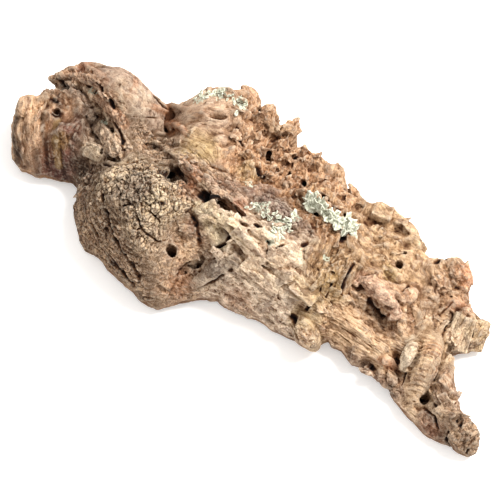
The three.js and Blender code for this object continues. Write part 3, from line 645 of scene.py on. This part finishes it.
def plate_between(start, end, width, thickness, lift, seed):
    """A rough, bevelled plate of bark between two seats on the surface, as a bmesh."""
    (a, up_a), (b, up_b) = start, end
    along = (b - a).normalized()
    side = (up_a + up_b).cross(along).normalized()
    up = along.cross(side)
    turn = Matrix((along, side, up)).transposed().to_4x4()
    size = Matrix.Diagonal(((b - a).length + 2 * MM, width * MM, thickness * MM, 1))
    middle = (a + b) / 2 + up * (lift - thickness / 2 + PLATE_SINK) * MM
    bm = bmesh.new()
    bmesh.ops.create_cube(bm, size=1, matrix=Matrix.Translation(middle) @ turn @ size)
    bmesh.ops.bevel(bm, geom=bm.edges[:], offset=min(width, thickness) * 0.12 * MM, segments=2,
                    affect="EDGES", profile=0.5, material=-1)
    long_edges = [e for e in bm.edges if e.calc_length() > 1.5 * MM]
    bmesh.ops.subdivide_edges(bm, edges=long_edges, cuts=4, use_grid_fill=True)
    for v in bm.verts:
        v.co += noise.noise_vector(v.co / (5 * MM) + Vector((seed, 0, 0))) * 0.4 * MM
    return bm


def roll_along(path, width, height, lift, seed):
    """A rough fold of bark with tapered ends that runs through several seats on the surface."""
    spots = [point + normal * (lift - height / 2 + ROLL_SINK) * MM for point, normal in path]
    rough = 0.22 * min(width, 25 / width)
    steps = 4 * (len(path) - 1)
    rings = []
    bm = bmesh.new()
    for i in range(steps + 1):
        t = i / steps * (len(path) - 1)
        k = min(int(t), len(path) - 2)
        middle = spots[k].lerp(spots[k + 1], t - k)
        up = path[k][1].lerp(path[k + 1][1], t - k).normalized()
        side = up.cross(spots[k + 1] - spots[k]).normalized()
        taper = math.sin(math.pi * (0.06 + 0.88 * i / steps)) ** 0.5
        ring = []
        for j in range(ROLL_SIDES):
            a = 2 * math.pi * j / ROLL_SIDES
            arm = side * math.cos(a) * width / 2 + up * math.sin(a) * height / 2
            spot = middle + arm * taper * MM
            spot += noise.noise_vector(spot / (3 * MM) + Vector((seed, 0, 0))) * rough * MM
            ring.append(bm.verts.new(spot))
        rings.append(ring)
    for near, far in zip(rings[:-1], rings[1:]):
        for j in range(ROLL_SIDES):
            bm.faces.new((near[j], near[j - 1], far[j - 1], far[j]))
    bm.faces.new(rings[0])
    bm.faces.new(rings[-1][::-1])
    bmesh.ops.recalc_face_normals(bm, faces=bm.faces)
    return bm


def merge_into(bm, added):
    """Adds one bmesh's geometry to another and frees it."""
    carrier = bpy.data.meshes.new("carrier")
    added.to_mesh(carrier)
    added.free()
    bm.from_mesh(carrier)
    bpy.data.meshes.remove(carrier)


def seat(tree, u, v):
    """Where a pixel of the photograph falls on the bark, or passes nearest to it, and its normal."""
    start, way = photo_ray(u, v)
    point, normal, _, _ = tree.ray_cast(start, way)
    if point is None:
        point, normal, _, _ = tree.find_nearest(start + way * VIEW_DISTANCE)
    return point, normal


# Where insects bored in, in millimetres in the frame, and each bore's diameter
BORES = [(-26.5, -40.3, 6), (64, 28.7, 4.6), (62, 35.7, 2.6), (114, -16.3, 6.5), (-96, -7.3, 6)]

# Chips: how far they lean and swing off the grain, in radians, and how high they lie in millimetres
CHIP_LEAN = 0.16
CHIP_SWING = 0.35
CHIP_LIFT = 0.75
BOX_CORNERS = np.array([(x, y, z) for x in (-1, 1) for y in (-1, 1) for z in (-1, 1)]) / 2
BOX_FACES = [(0, 1, 3, 2), (4, 6, 7, 5), (0, 4, 5, 1), (2, 3, 7, 6), (0, 2, 6, 4), (1, 5, 7, 3)]


def grain_direction(region, point):
    """Which way the grain runs in plan at a point, as an angle in radians."""
    if "round" not in region:
        return math.radians(region["grain"])
    outwards = math.atan2(point.y / MM - region["round"][1], point.x / MM - region["round"][0])
    return outwards if region.get("spokes") else outwards + math.pi / 2


def scattered_chips(tree, seed):
    """Angular chips of bark, lying along each region's grain with one end or side a little raised."""
    draw = np.random.default_rng(seed)
    corners = []
    faces = []
    for region in REGIONS.values():
        count, *size = region.get("chips", (0,))
        turn = math.radians(region.get("turn", 0))
        for _ in range(count):
            along, across = draw.normal(0, np.array(region["size"]) / 4)
            x = region["at"][0] + along * math.cos(turn) - across * math.sin(turn)
            y = region["at"][1] + along * math.sin(turn) + across * math.cos(turn)
            point, normal, _, _ = tree.ray_cast(Vector((x * MM, y * MM, 0.2)), Vector((0, 0, -1)))
            shape = np.array(size) * draw.uniform(0.55, 1.25, 3) * MM
            lean = Matrix.Rotation(draw.normal(0, CHIP_LEAN), 3, "X")
            lean @= Matrix.Rotation(draw.normal(0, CHIP_LEAN), 3, "Y")
            swing = draw.normal(0, CHIP_SWING)
            ragged = BOX_CORNERS * shape * draw.uniform(0.35, 1.2, (8, 3))
            if point is None or normal.z < 0.15 or near_bores(np.array([[x, y]]), 1.4)[0] > 0:
                continue
            heading = grain_direction(region, point) + swing
            forward = Vector((math.cos(heading), math.sin(heading), 0))
            side = normal.cross(forward).normalized()
            stand = Matrix((side.cross(normal), side, normal)).transposed() @ lean
            sunk = np.array(point + normal * (CHIP_LIFT * MM - shape[2] / 2 * 0.8))
            faces += [[len(corners) + k for k in face] for face in BOX_FACES]
            corners += list(ragged @ np.array(stand).T + sunk)
    mesh = bpy.data.meshes.new("chips")
    mesh.from_pydata(corners, [], faces)
    bm = bmesh.new()
    bm.from_mesh(mesh)
    bpy.data.meshes.remove(mesh)
    bmesh.ops.recalc_face_normals(bm, faces=bm.faces)
    return bm


def rough_bark():
    """The frame's bark solid with plates and crumbs fused on, as one fine even skin."""
    bm = bmesh.new()
    bm.from_mesh(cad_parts["cork_bark"].data)
    bmesh.ops.remove_doubles(bm, verts=bm.verts, dist=0.002 * MM)
    tree = BVHTree.FromBMesh(bm)
    for i, (width, thickness, lift, *pixels) in enumerate(PLATES.values()):
        ends = [seat(tree, *pixel) for pixel in pixels]
        merge_into(bm, plate_between(*ends, width, thickness, lift, 3.1 * i))
    for i, (width, height, lift, *pixels) in enumerate(ROLLS.values()):
        path = [seat(tree, *pixel) for pixel in pixels]
        merge_into(bm, roll_along(path, width, height, lift, 2.3 * i))
    merge_into(bm, scattered_chips(tree, 11))
    bark = mesh_object("bark_skin", bm)
    fuse = bark.modifiers.new("fuse", "REMESH")
    fuse.mode = "VOXEL"
    fuse.voxel_size = VOXEL
    apply_modifiers(bark)
    keep_largest(bark)
    return bark, tree


def keep_largest(made):
    """Drops every loose island but the largest."""
    bm = bmesh.new()
    bm.from_mesh(made.data)
    bm.verts.ensure_lookup_table()
    unseen = set(bm.verts)
    islands = []
    while unseen:
        stack = [unseen.pop()]
        island = list(stack)
        while stack:
            for e in stack.pop().link_edges:
                for v in e.verts:
                    if v in unseen:
                        unseen.discard(v)
                        stack.append(v)
                        island.append(v)
        islands.append(island)
    islands.sort(key=len)
    bmesh.ops.delete(bm, geom=[v for island in islands[:-1] for v in island], context="VERTS")
    bm.to_mesh(made.data)
    bm.free()


def along_line(p, line):
    """Each point's distance from a line through several points, and how far along it that is, 0 to 1."""
    least = np.full(len(p), np.inf)
    share = np.zeros(len(p))
    lengths = np.maximum(np.linalg.norm(np.diff(line, axis=0), axis=1), 0.01 * MM)
    run = 0
    for a, b, length in zip(line[:-1], line[1:], lengths):
        t = np.clip(((p - a) @ (b - a)) / length**2, 0, 1)
        gap = np.linalg.norm(p - a - t[:, None] * (b - a), axis=1)
        share = np.where(gap < least, (run + t * length) / lengths.sum(), share)
        least = np.minimum(least, gap)
        run += length
    return least, share


def within(points, line, reach):
    return np.all((points > line.min(0) - reach) & (points < line.max(0) + reach), axis=1)


def crease_depths(points, tree):
    """How deep the creases and pits cut at each point, in millimetres."""
    depths = np.zeros(len(points))
    ragged = 1 + 0.45 * layered_noise(points / (3 * MM), 31, 2)
    for width, depth, *pixels in CREASES.values():
        line = np.array([seat(tree, *pixel)[0] for pixel in pixels])
        near = within(points, line, width * MM)
        if near.any():
            least, share = along_line(points[near], line)
            taper = np.sin(np.pi * (share * 0.9 + 0.05)) ** 0.4
            across = least / (width / 2 * MM) * ragged[near]
            depths[near] = np.maximum(depths[near], depth * taper * (1 - ramp(across, 0.15, 1.25)))
    return depths


def raised_forms(points, tree):
    """For each plate and roll: its name, the points near it, and how surely each is on it, 0 to 1."""
    for name, (width, height, lift, *pixels) in (PLATES | ROLLS).items():
        path = [seat(tree, *pixel) for pixel in pixels]
        line = np.array([point + up * (lift - height / 2 + ROLL_SINK) * MM for point, up in path])
        reach = max(width, height) * 0.62 * MM
        near = within(points, line, reach)
        if near.any():
            least, _ = along_line(points[near], line)
            yield name, near, 1 - ramp(least / reach, 0.75, 1)


def store(mesh, name, values):
    """Keeps a number, a vector or a colour at each vertex, by how many values a vertex has."""
    kinds = {1: ("FLOAT", "value"), 3: ("FLOAT_VECTOR", "vector"), 4: ("FLOAT_COLOR", "color")}
    kind, field = kinds[values.size // len(values)]
    layer = mesh.attributes.new(name, kind, "POINT")
    layer.data.foreach_set(field, values.astype(np.float32).ravel())


# Rounds of smoothing that leave the form alone, then its slope, and how much calmer placed pieces are
FORM_ROUNDS = 8
SLOPE_ROUNDS = 4
CALMER = 0.3


def carve_bark(bark, tree):
    """Cuts the creases and every region's own relief into the skin."""
    mesh = bark.data
    points = vectors_of(mesh.vertices, "co")
    edges = edges_of(mesh)
    put_points(mesh, smoothed(points, edges, FORM_ROUNDS))
    outwards = smoothed(vectors_of(mesh.vertex_normals, "vector"), edges, SLOPE_ROUNDS)
    outwards /= np.linalg.norm(outwards, axis=1)[:, None]
    base = smoothed(points, edges, 1)
    p = base / MM
    shares = region_shares(p, outwards[:, 2])
    height = np.zeros(len(p))
    for i, (name, share) in enumerate(shares.items()):
        here = share > 0.02
        height[here] += share[here] * region_relief(settings_of(name), p[here], 100 * i)
    calm = near_bores(p, 0.9)
    for _, near, share in raised_forms(points, tree):
        calm[near] = np.maximum(calm[near], share)
    height *= 1 - CALMER * calm
    depths = crease_depths(base, tree)
    height = height * (1 - 0.5 * ramp(depths, 1, 5)) - depths
    moved = base + outwards * height[:, None] * MM
    moved[:, 2] = np.maximum(moved[:, 2], 0)
    put_points(mesh, moved)
    # The creases' depth, kept for the painted shade in them
    store(mesh, "cut", depths)


def near_bores(p, reach):
    """1 at a borer's hole, falling to 0 at a number of its widths from its middle."""
    close = np.zeros(len(p))
    for x, y, size in BORES:
        off = np.hypot(p[:, 0] - x, p[:, 1] - y) / size
        close = np.maximum(close, 1 - ramp(off, reach * 0.6, reach))
    return close


def thin_out(bark):
    faces = sum(len(f.vertices) - 2 for f in bark.data.polygons)
    if faces > MOST_FACES:
        thin = bark.modifiers.new("thin", "DECIMATE")
        thin.ratio = MOST_FACES / faces
        apply_modifiers(bark)


# Stains, such as yellow-green at the dome's foot and purple on the burl, with painted shade in the pinch, on
# the stub's left end and along the front rim: radius in millimetres, the pixel at the middle, colour and
# strength
STAINS_AND_PAINTED_SHADE = [
    (12, (196, 148), "#D9C392", 0.7),
    (9, (210, 150), "#D2BA8C", 0.5),
    (9, (248, 170), "#B5A276", 0.5),
    (7, (388, 275), "#B5A267", 0.5),
    (12, (330, 288), "#A58B58", 0.55),
    # Reddish painted shade in the pinch
    (8, (176, 128), "#AC7A55", 0.6),
    (9, (190, 180), "#B0744F", 0.6),
    (7, (186, 192), "#A76F4E", 0.55),
    (8, (238, 208), "#A9684A", 0.6),
    (7, (196, 226), "#7B5140", 0.6),
    (9, (188, 252), "#E6C4A2", 0.7),
    (10, (180, 284), "#B8805A", 0.5),
    (12, (240, 300), "#C4906C", 0.45),
    (7, (112, 100), "#C79D7E", 0.4),
    (6, (104, 100), "#CBA082", 0.4),
    (5, (83, 69), "#B5694A", 0.5),
    (12, (142, 100), "#D2C3B0", 0.6),
    (14, (130, 190), "#6E5A55", 0.55),
    (8, (145, 196), "#6A5750", 0.5),
    (12, (160, 205), "#D9CBAA", 0.45),
    (9, (216, 222), "#EBD9B6", 0.6),
    (10, (270, 200), "#77625E", 0.6),
    (8, (284, 214), "#7A655F", 0.55),
    (9, (215, 268), "#8C8077", 0.55),
    (7, (471, 277), "#DFA37E", 0.6),
    (6, (462, 307), "#CC9A7A", 0.5),
    (6, (432, 352), "#D09A6E", 0.5),
    (5, (390, 366), "#D59A72", 0.6),
    (8, (380, 292), "#DDBBA5", 0.5),
    (6, (410, 354), "#E6D6BC", 0.8),
    (8, (306, 336), "#C4875F", 0.4),
    (9, (310, 322), "#BBA77B", 0.5),
    (13, (262, 258), "#CFB498", 0.4),
    (12, (290, 268), "#CFB498", 0.4),
    (9, (480, 332), "#C2AB80", 0.4),
    (14, (200, 110), "#CFAF94", 0.4),
    (6, (178, 98), "#A07453", 0.5),
    # Painted shade on the stub's left end, which faces away from the light
    (8, (24, 135), "#5F4A3A", 0.6),
    (6, (18, 150), "#554232", 0.6),
    (8, (48, 150), "#7F5A3C", 0.4),
    (6, (62, 140), "#A98C55", 0.45),
    (8, (86, 130), "#6E5A50", 0.5),
    (9, (80, 168), "#4C392B", 0.6),
    (9, (385, 385), "#8C5F45", 0.4),
    # Painted shade along the low front rim
    (6, (350, 355), "#644839", 0.6),
    (6, (366, 366), "#644839", 0.6),
    (6, (379, 378), "#5E4336", 0.6),
    (6, (391, 392), "#5E4336", 0.6),
    (7, (310, 348), "#C58F6C", 0.5),
    (8, (430, 430), "#A9684A", 0.4),
]


# Where crusty lichen grows: radius in millimetres and the pixel at the middle
CRUSTS = [(11, (200, 98)), (10, (222, 92)), (9, (242, 102)), (10, (262, 205)), (10, (280, 224)),
          (9, (274, 240)), (7, (296, 216)), (8, (322, 206)), (7, (346, 226)), (7, (92, 92)),
          (6, (106, 122)), (6, (300, 262)), (6, (326, 258)), (7, (250, 184))]


def colour_bark(bark, tree):
    """Stores, at each vertex, the bark's tone, how sunk it is at two scales, and the grain's run."""
    mesh = bark.data
    points = vectors_of(mesh.vertices, "co")
    edges = edges_of(mesh)
    normals = vectors_of(mesh.vertex_normals, "vector")
    p = points / MM
    shares = region_shares(p, smoothed(normals, edges, 8)[:, 2])
    tone = np.zeros((len(p), 4))
    grain = np.zeros((len(p), 3))
    cracked = np.zeros(len(p))
    streaked = np.zeros(len(p))
    sharpness = sum(share**3 for share in shares.values())
    for name, share in shares.items():
        region = settings_of(name)
        q = grain_frame(region, p)
        shade = share
        if "stripes" in region:
            spacing, strength = region["stripes"]
            wander = layered_noise(p / 8, 70, 2) * 0.8
            line = np.stack([q[:, 0] / 60, q[:, 1] / spacing + wander, np.zeros(len(p))], 1)
            shade = share * (1 + strength * 1.6 * layered_noise(line, 71, 2))
        tone += shade[:, None] * np.array(srgb(region["tone"]))
        cracked += share * region["cracked"]
        streaked += share * region.get("streaks", 0.5)
        grain += (share**3 / sharpness)[:, None] * q
    patchy = 1 + 0.5 * layered_noise(p / 5, 400)
    for name, near, share in raised_forms(points, tree):
        colour, strength = FORM_TONES.get(name, WORN_TONE)
        mix = (strength * share)[:, None]
        tone[near] = tone[near] * (1 - mix) + np.array(srgb(colour)) * mix
    for radius, pixel, colour, strength in STAINS_AND_PAINTED_SHADE:
        spot = np.array(seat(tree, *pixel)[0]) / MM
        off = np.linalg.norm(p - spot, axis=1) / radius * patchy
        mix = (strength * (1 - ramp(off, 0.35, 1.05)))[:, None]
        tone = tone * (1 - mix) + np.array(srgb(colour)) * mix
    crusted = np.zeros(len(p))
    for radius, pixel in CRUSTS:
        spot = np.array(seat(tree, *pixel)[0]) / MM
        off = np.linalg.norm(p - spot, axis=1) / radius * patchy
        crusted = np.maximum(crusted, 1 - ramp(off, 0.2, 1.1))
    store(mesh, "crusted", crusted)
    store(mesh, "tone", tone)
    store(mesh, "grain", grain)
    store(mesh, "cracked", cracked)
    store(mesh, "streaked", streaked)
    scale = np.sqrt(np.mean(np.linalg.norm(points[edges[:, 0]] - points[edges[:, 1]], axis=1) ** 2))
    # How sunk each point is, at two scales, for the painted shade in hollows and the painted highlight on
    # edges
    for name, reach in (("fine_hollow", 1.6 * MM), ("broad_hollow", 6 * MM)):
        rounds = int(max(2, 2 * (reach / scale) ** 2))
        sunk = np.sum((smoothed(points, edges, rounds) - points) * normals, axis=1)
        store(mesh, name, np.clip(sunk / reach * 2, -1, 1))


# A colour Mix node's sockets
BELOW, ABOVE, MIXED = 6, 7, 2


def add_node(tree, kind, links=None, inputs=None, stops=None, **settings):
    """Adds a shader node with its settings, its inputs' values, its ramp's stops and its links."""
    node = tree.nodes.new(kind)
    for name, value in settings.items():
        setattr(node, name, value)
    for key, value in (inputs or {}).items():
        node.inputs[key].default_value = value
    if stops:
        elements = node.color_ramp.elements
        while len(elements) < len(stops):
            elements.new(0.5)
        for element, (position, shade) in zip(elements, stops):
            element.position = position
            element.color = srgb(shade) if isinstance(shade, str) else (shade, shade, shade, 1)
    for key, source in (links or {}).items():
        tree.links.new(source, node.inputs[key])
    return node


def toned(tree, base, value, stops, share=1.0):
    """A colour multiplied by tones that follow a value. The share is a number or a socket."""
    tones = add_node(tree, "ShaderNodeValToRGB", {"Fac": value}, stops=stops).outputs["Color"]
    mixed = add_node(tree, "ShaderNodeMix", {BELOW: base, ABOVE: tones}, data_type="RGBA",
                     blend_type="MULTIPLY")
    if isinstance(share, float):
        mixed.inputs["Factor"].default_value = share
    else:
        tree.links.new(share, mixed.inputs["Factor"])
    return mixed.outputs[MIXED]


def tinted(tree, base, colour, amount):
    """A colour that turns into another as far as an amount says."""
    mixed = add_node(tree, "ShaderNodeMix", {BELOW: base, "Factor": amount}, {ABOVE: srgb(colour)},
                     data_type="RGBA")
    return mixed.outputs[MIXED]


def cork_material():
    """Virgin cork: dry, corky cells with no gloss, dark in its hair cracks, with painted shade in its
    creases and hollows and a painted highlight, partly pale wear, on its edges.
    """
    material, tree, shader = new_material("virgin_cork", {"Roughness": 0.92, "Specular IOR Level": 0.2})
    where = add_node(tree, "ShaderNodeTexCoord").outputs["Object"]
    base = add_node(tree, "ShaderNodeAttribute", attribute_name="tone").outputs["Color"]
    grain = add_node(tree, "ShaderNodeAttribute", attribute_name="grain").outputs["Vector"]
    kept = {}
    for name in ("cut", "fine_hollow", "broad_hollow", "cracked", "streaked", "crusted"):
        kept[name] = add_node(tree, "ShaderNodeAttribute", attribute_name=name).outputs["Fac"]

    # Weathered blotches: rust about 14 mm across, grey about 9 mm, and light and dark about 5 mm
    for size, offset, colour, low in ((14, 0, "#B57C56", 0.55), (9, 4, "#93877E", 0.58)):
        moved = add_node(tree, "ShaderNodeMapping", {"Vector": where}, {"Location": (offset,) * 3})
        blotch = add_node(tree, "ShaderNodeTexNoise", {"Vector": moved.outputs["Vector"]},
                          {"Scale": 1 / (size * MM), "Detail": 6, "Roughness": 0.6})
        amount = add_node(tree, "ShaderNodeValToRGB", {"Fac": blotch.outputs["Fac"]},
                          stops=[(low, 0), (0.8, 0.35)])
        base = tinted(tree, base, colour, amount.outputs["Color"])
    blotch = add_node(tree, "ShaderNodeTexNoise", {"Vector": where},
                      {"Scale": 1 / (5 * MM), "Detail": 6, "Roughness": 0.65})
    base = toned(tree, base, blotch.outputs["Fac"], [(0.28, "#A5978E"), (0.42, "#E4E0DC"), (0.58, 1)])

    # Scales along the grain, about 5 mm by 2 mm, each of its own tone, with hair cracks between them
    wander = add_node(tree, "ShaderNodeTexNoise", {"Vector": where},
                      {"Scale": 1 / (3 * MM), "Detail": 4, "Roughness": 0.65})
    bent = add_node(tree, "ShaderNodeVectorMath", {0: wander.outputs["Color"], 2: grain},
                    {1: (5, 5, 5)}, operation="MULTIPLY_ADD")
    scaled = add_node(tree, "ShaderNodeMapping", {"Vector": bent.outputs["Vector"]},
                      {"Scale": (1 / 5, 1 / 2, 1 / 2)})
    scales = add_node(tree, "ShaderNodeTexVoronoi", {"Vector": scaled.outputs["Vector"]}, {"Scale": 1.0})
    borders = add_node(tree, "ShaderNodeTexVoronoi", {"Vector": scaled.outputs["Vector"]},
                       {"Scale": 1.0}, feature="DISTANCE_TO_EDGE")
    pick = add_node(tree, "ShaderNodeSeparateColor", {"Color": scales.outputs["Color"]})
    base = toned(tree, base, pick.outputs["Red"], [
        (0.0, "#8C6F5E"), (0.16, "#D6CAC0"), (0.35, "#FFFAF2"), (0.75, "#F2ECE5"), (0.9, "#CBC3BF"),
        (1.0, "#AFA5A1")], 0.8)
    base = toned(tree, base, borders.outputs["Distance"],
                 [(0.0, "#3C2414"), (0.05, "#6B503A"), (0.11, 1)], kept["cracked"])

    # Streaks along the grain, about 0.8 mm apart
    stretched = add_node(tree, "ShaderNodeMapping", {"Vector": grain}, {"Scale": (1 / 12, 1 / 0.8, 1 / 0.8)})
    streak = add_node(tree, "ShaderNodeTexNoise", {"Vector": stretched.outputs["Vector"]},
                      {"Scale": 1.0, "Detail": 4, "Roughness": 0.65})
    base = toned(tree, base, streak.outputs["Fac"], [(0.32, "#6E5440"), (0.43, "#D8CFC7"), (0.5, 1)],
                 kept["streaked"])

    # Creases and hollows are darkened as painted shade, with some dirt; convex edges get a painted
    # highlight, partly pale worn cork
    base = toned(tree, base, kept["cut"], [(0.0, 1), (0.35, "#B7A18D"), (1.0, "#5E3E28")])
    # Painted shade in the small and the broad hollows
    base = toned(tree, base, kept["fine_hollow"],
                 [(0.0, 1), (0.3, "#E2DCD5"), (0.6, "#8E6A4E"), (1.0, "#3A2212")])
    base = toned(tree, base, kept["broad_hollow"], [(0.0, 1), (0.4, "#D6CDC4"), (0.9, "#7A573A")])
    # Convex edges turn pale: a painted highlight, partly pale worn cork
    highlight_and_wear = add_node(tree, "ShaderNodeMath", {0: kept["fine_hollow"]}, {1: -0.6}, operation="MULTIPLY",
                    use_clamp=True)
    base = tinted(tree, base, "#DACBB6", highlight_and_wear.outputs["Value"])

    # Lenticels and dark specks, under 1 mm
    specks = add_node(tree, "ShaderNodeTexNoise", {"Vector": where},
                      {"Scale": 1 / (0.9 * MM), "Detail": 4, "Roughness": 0.8})
    base = toned(tree, base, specks.outputs["Fac"], [(0.32, "#543F30"), (0.41, "#D8D3CE"), (0.5, 1)], 0.75)

    # Crusty lichen: pale mint specks about 1.5 mm across, a stain too thin to have a shape of its own
    crust = add_node(tree, "ShaderNodeTexNoise", {"Vector": where},
                     {"Scale": 1 / (1.6 * MM), "Detail": 3, "Roughness": 0.6})
    patchy = add_node(tree, "ShaderNodeMath", {0: crust.outputs["Fac"], 1: kept["crusted"]},
                      operation="MULTIPLY")
    amount = add_node(tree, "ShaderNodeValToRGB", {"Fac": patchy.outputs["Value"]},
                      stops=[(0.44, 0), (0.52, 0.75)])
    base = tinted(tree, base, "#C3C9B4", amount.outputs["Color"])
    tree.links.new(base, shader.inputs["Base Color"])

    # Bump: the streaks, the corky cells and the hair cracks
    gaps = add_node(tree, "ShaderNodeValToRGB", {"Fac": borders.outputs["Distance"]},
                    stops=[(0.0, 0), (0.07, 1)])
    deep = add_node(tree, "ShaderNodeMath", {0: kept["cracked"]}, {1: 0.8}, operation="MULTIPLY")
    lift = add_node(tree, "ShaderNodeBump", {"Height": streak.outputs["Fac"]},
                    {"Strength": 0.8, "Distance": 0.6 * MM})
    lift = add_node(tree, "ShaderNodeBump",
                    {"Height": specks.outputs["Fac"], "Normal": lift.outputs["Normal"]},
                    {"Strength": 0.8, "Distance": 0.7 * MM})
    links = {"Height": gaps.outputs["Color"], "Normal": lift.outputs["Normal"],
             "Strength": deep.outputs["Value"]}
    lift = add_node(tree, "ShaderNodeBump", links, {"Distance": 0.5 * MM})
    tree.links.new(lift.outputs["Normal"], shader.inputs["Normal"])
    return material


def thallus_material():
    """Dry leafy lichen: matt pale grey-green, whiter towards the lobes' rims, and darker towards their roots
    as painted shade.
    """
    material, tree, shader = new_material("lichen_thallus", {"Roughness": 0.9, "Specular IOR Level": 0.15})
    where = add_node(tree, "ShaderNodeTexCoord").outputs["Object"]
    rim = add_node(tree, "ShaderNodeAttribute", attribute_name="rim").outputs["Fac"]
    # Each lobe darkens towards its root: painted shade
    base = add_node(tree, "ShaderNodeValToRGB", {"Fac": rim},
                    stops=[(0.0, "#8A8C7E"), (0.5, "#BFC0B2"), (1.0, "#EDEDE2")]).outputs["Color"]
    mottle = add_node(tree, "ShaderNodeTexNoise", {"Vector": where},
                      {"Scale": 1 / (0.8 * MM), "Detail": 4, "Roughness": 0.7})
    base = toned(tree, base, mottle.outputs["Fac"], [(0.35, "#9A9C8E"), (0.5, "#E8EAE0"), (0.65, 1)])
    tree.links.new(base, shader.inputs["Base Color"])
    lift = add_node(tree, "ShaderNodeBump", {"Height": mottle.outputs["Fac"]},
                    {"Strength": 0.5, "Distance": 0.3 * MM})
    tree.links.new(lift.outputs["Normal"], shader.inputs["Normal"])
    return material


# Leafy lichens: the pixels that each spine runs through, how many lobes, their reach in millimetres, and
# how far in pixels they spread to either side
THALLI = {
    "lichen_ledge": ([(306, 196), (312, 203), (321, 211), (333, 217), (344, 223), (351, 232)], 64, 2.3, 5),
    "lichen_hump": ([(252, 207), (264, 210), (274, 218), (282, 228), (276, 236), (290, 222), (295, 218)],
                    46, 1.6, 7),
    "lichen_back_edge": ([(196, 98), (210, 95), (222, 94), (234, 98), (243, 104), (238, 110)], 34, 1.3, 4),
}

# The lobes' height off the bark and their thickness, in millimetres
LOBE_LIFT = 0.35
LOBE_THICKNESS = 0.3
LOBE_SIDES = 15


def add_lobe(bm, rim, point, normal, outwards, reach, seed):
    """One leaf-like lobe, scalloped and buckled, held down at its root and lifted at its edge."""
    outwards = (outwards - normal * outwards.dot(normal)).normalized()
    side = normal.cross(outwards)
    made = []
    for r in (0.0, 0.4, 0.75, 1.0):
        ring = []
        for j in range(1 if r == 0 else LOBE_SIDES):
            a = 2 * math.pi * j / LOBE_SIDES
            wave = noise.noise(Vector((seed, 2 * math.cos(a), 2 * math.sin(a))))
            edge = 1 + 0.16 * math.cos(5 * a + seed) + 0.2 * wave
            x = (0.6 + 1.2 * r * edge * math.cos(a)) * reach
            y = 0.7 * r * edge * math.sin(a) * reach
            curl = 0.16 * r**2 * math.sin(3 * a + 2 * seed) + 0.1 * max(x / reach, 0) ** 2
            z = LOBE_LIFT + curl * reach
            vert = bm.verts.new(point + (outwards * x + side * y + normal * z) * MM)
            vert[rim] = r
            ring.append(vert)
        made.append(ring)
    for j in range(LOBE_SIDES):
        bm.faces.new((made[0][0], made[1][j - 1], made[1][j]))
    for near, far in zip(made[1:-1], made[2:]):
        for j in range(LOBE_SIDES):
            bm.faces.new((near[j], near[j - 1], far[j - 1], far[j]))


def make_thallus(name, tree, spine, count, reach, spread, material):
    draw = np.random.default_rng(len(name))
    line = np.array(spine, dtype=float)
    right, up, _ = view_axes()
    bm = bmesh.new()
    rim = bm.verts.layers.float.new("rim")
    for i in range(count):
        t = (i + draw.uniform(0, 0.99)) / count * (len(line) - 1)
        k = min(int(t), len(line) - 2)
        middle = line[k] + (line[k + 1] - line[k]) * (t - k)
        angle = draw.uniform(0, 2 * math.pi)
        off = spread * draw.uniform(0.1, 1) * np.array([math.cos(angle), math.sin(angle)])
        point, normal = seat(tree, *(middle + off))
        outwards = right * math.cos(angle) - up * math.sin(angle)
        add_lobe(bm, rim, point, normal, outwards, reach * draw.uniform(0.6, 1.15), 1.7 * i)
    thallus = mesh_object("thallus_" + name.removeprefix("lichen_"), bm)
    thick = thallus.modifiers.new("thick", "SOLIDIFY")
    thick.thickness = LOBE_THICKNESS * MM
    thick.offset = 0
    apply_modifiers(thallus)
    thallus.data.materials.append(material)
    for polygon in thallus.data.polygons:
        polygon.use_smooth = True
    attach(thallus, "root")
    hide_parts(name)


def make_thalli(bark):
    bm = bmesh.new()
    bm.from_mesh(bark.data)
    tree = BVHTree.FromBMesh(bm)
    bm.free()
    material = thallus_material()
    for name, (spine, count, reach, spread) in THALLI.items():
        make_thallus(name, tree, spine, count, reach, spread, material)


def make_bark():
    bark, tree = rough_bark()
    carve_bark(bark, tree)
    thin_out(bark)
    colour_bark(bark, tree)
    bark.data.materials.clear()
    bark.data.materials.append(cork_material())
    for polygon in bark.data.polygons:
        polygon.use_smooth = True
    bark.data.set_sharp_from_angle(angle=SHARP)
    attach(bark, "root")
    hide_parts("cork_bark")
    return bark


make_camera()
make_light()
make_ground()
make_thalli(make_bark())
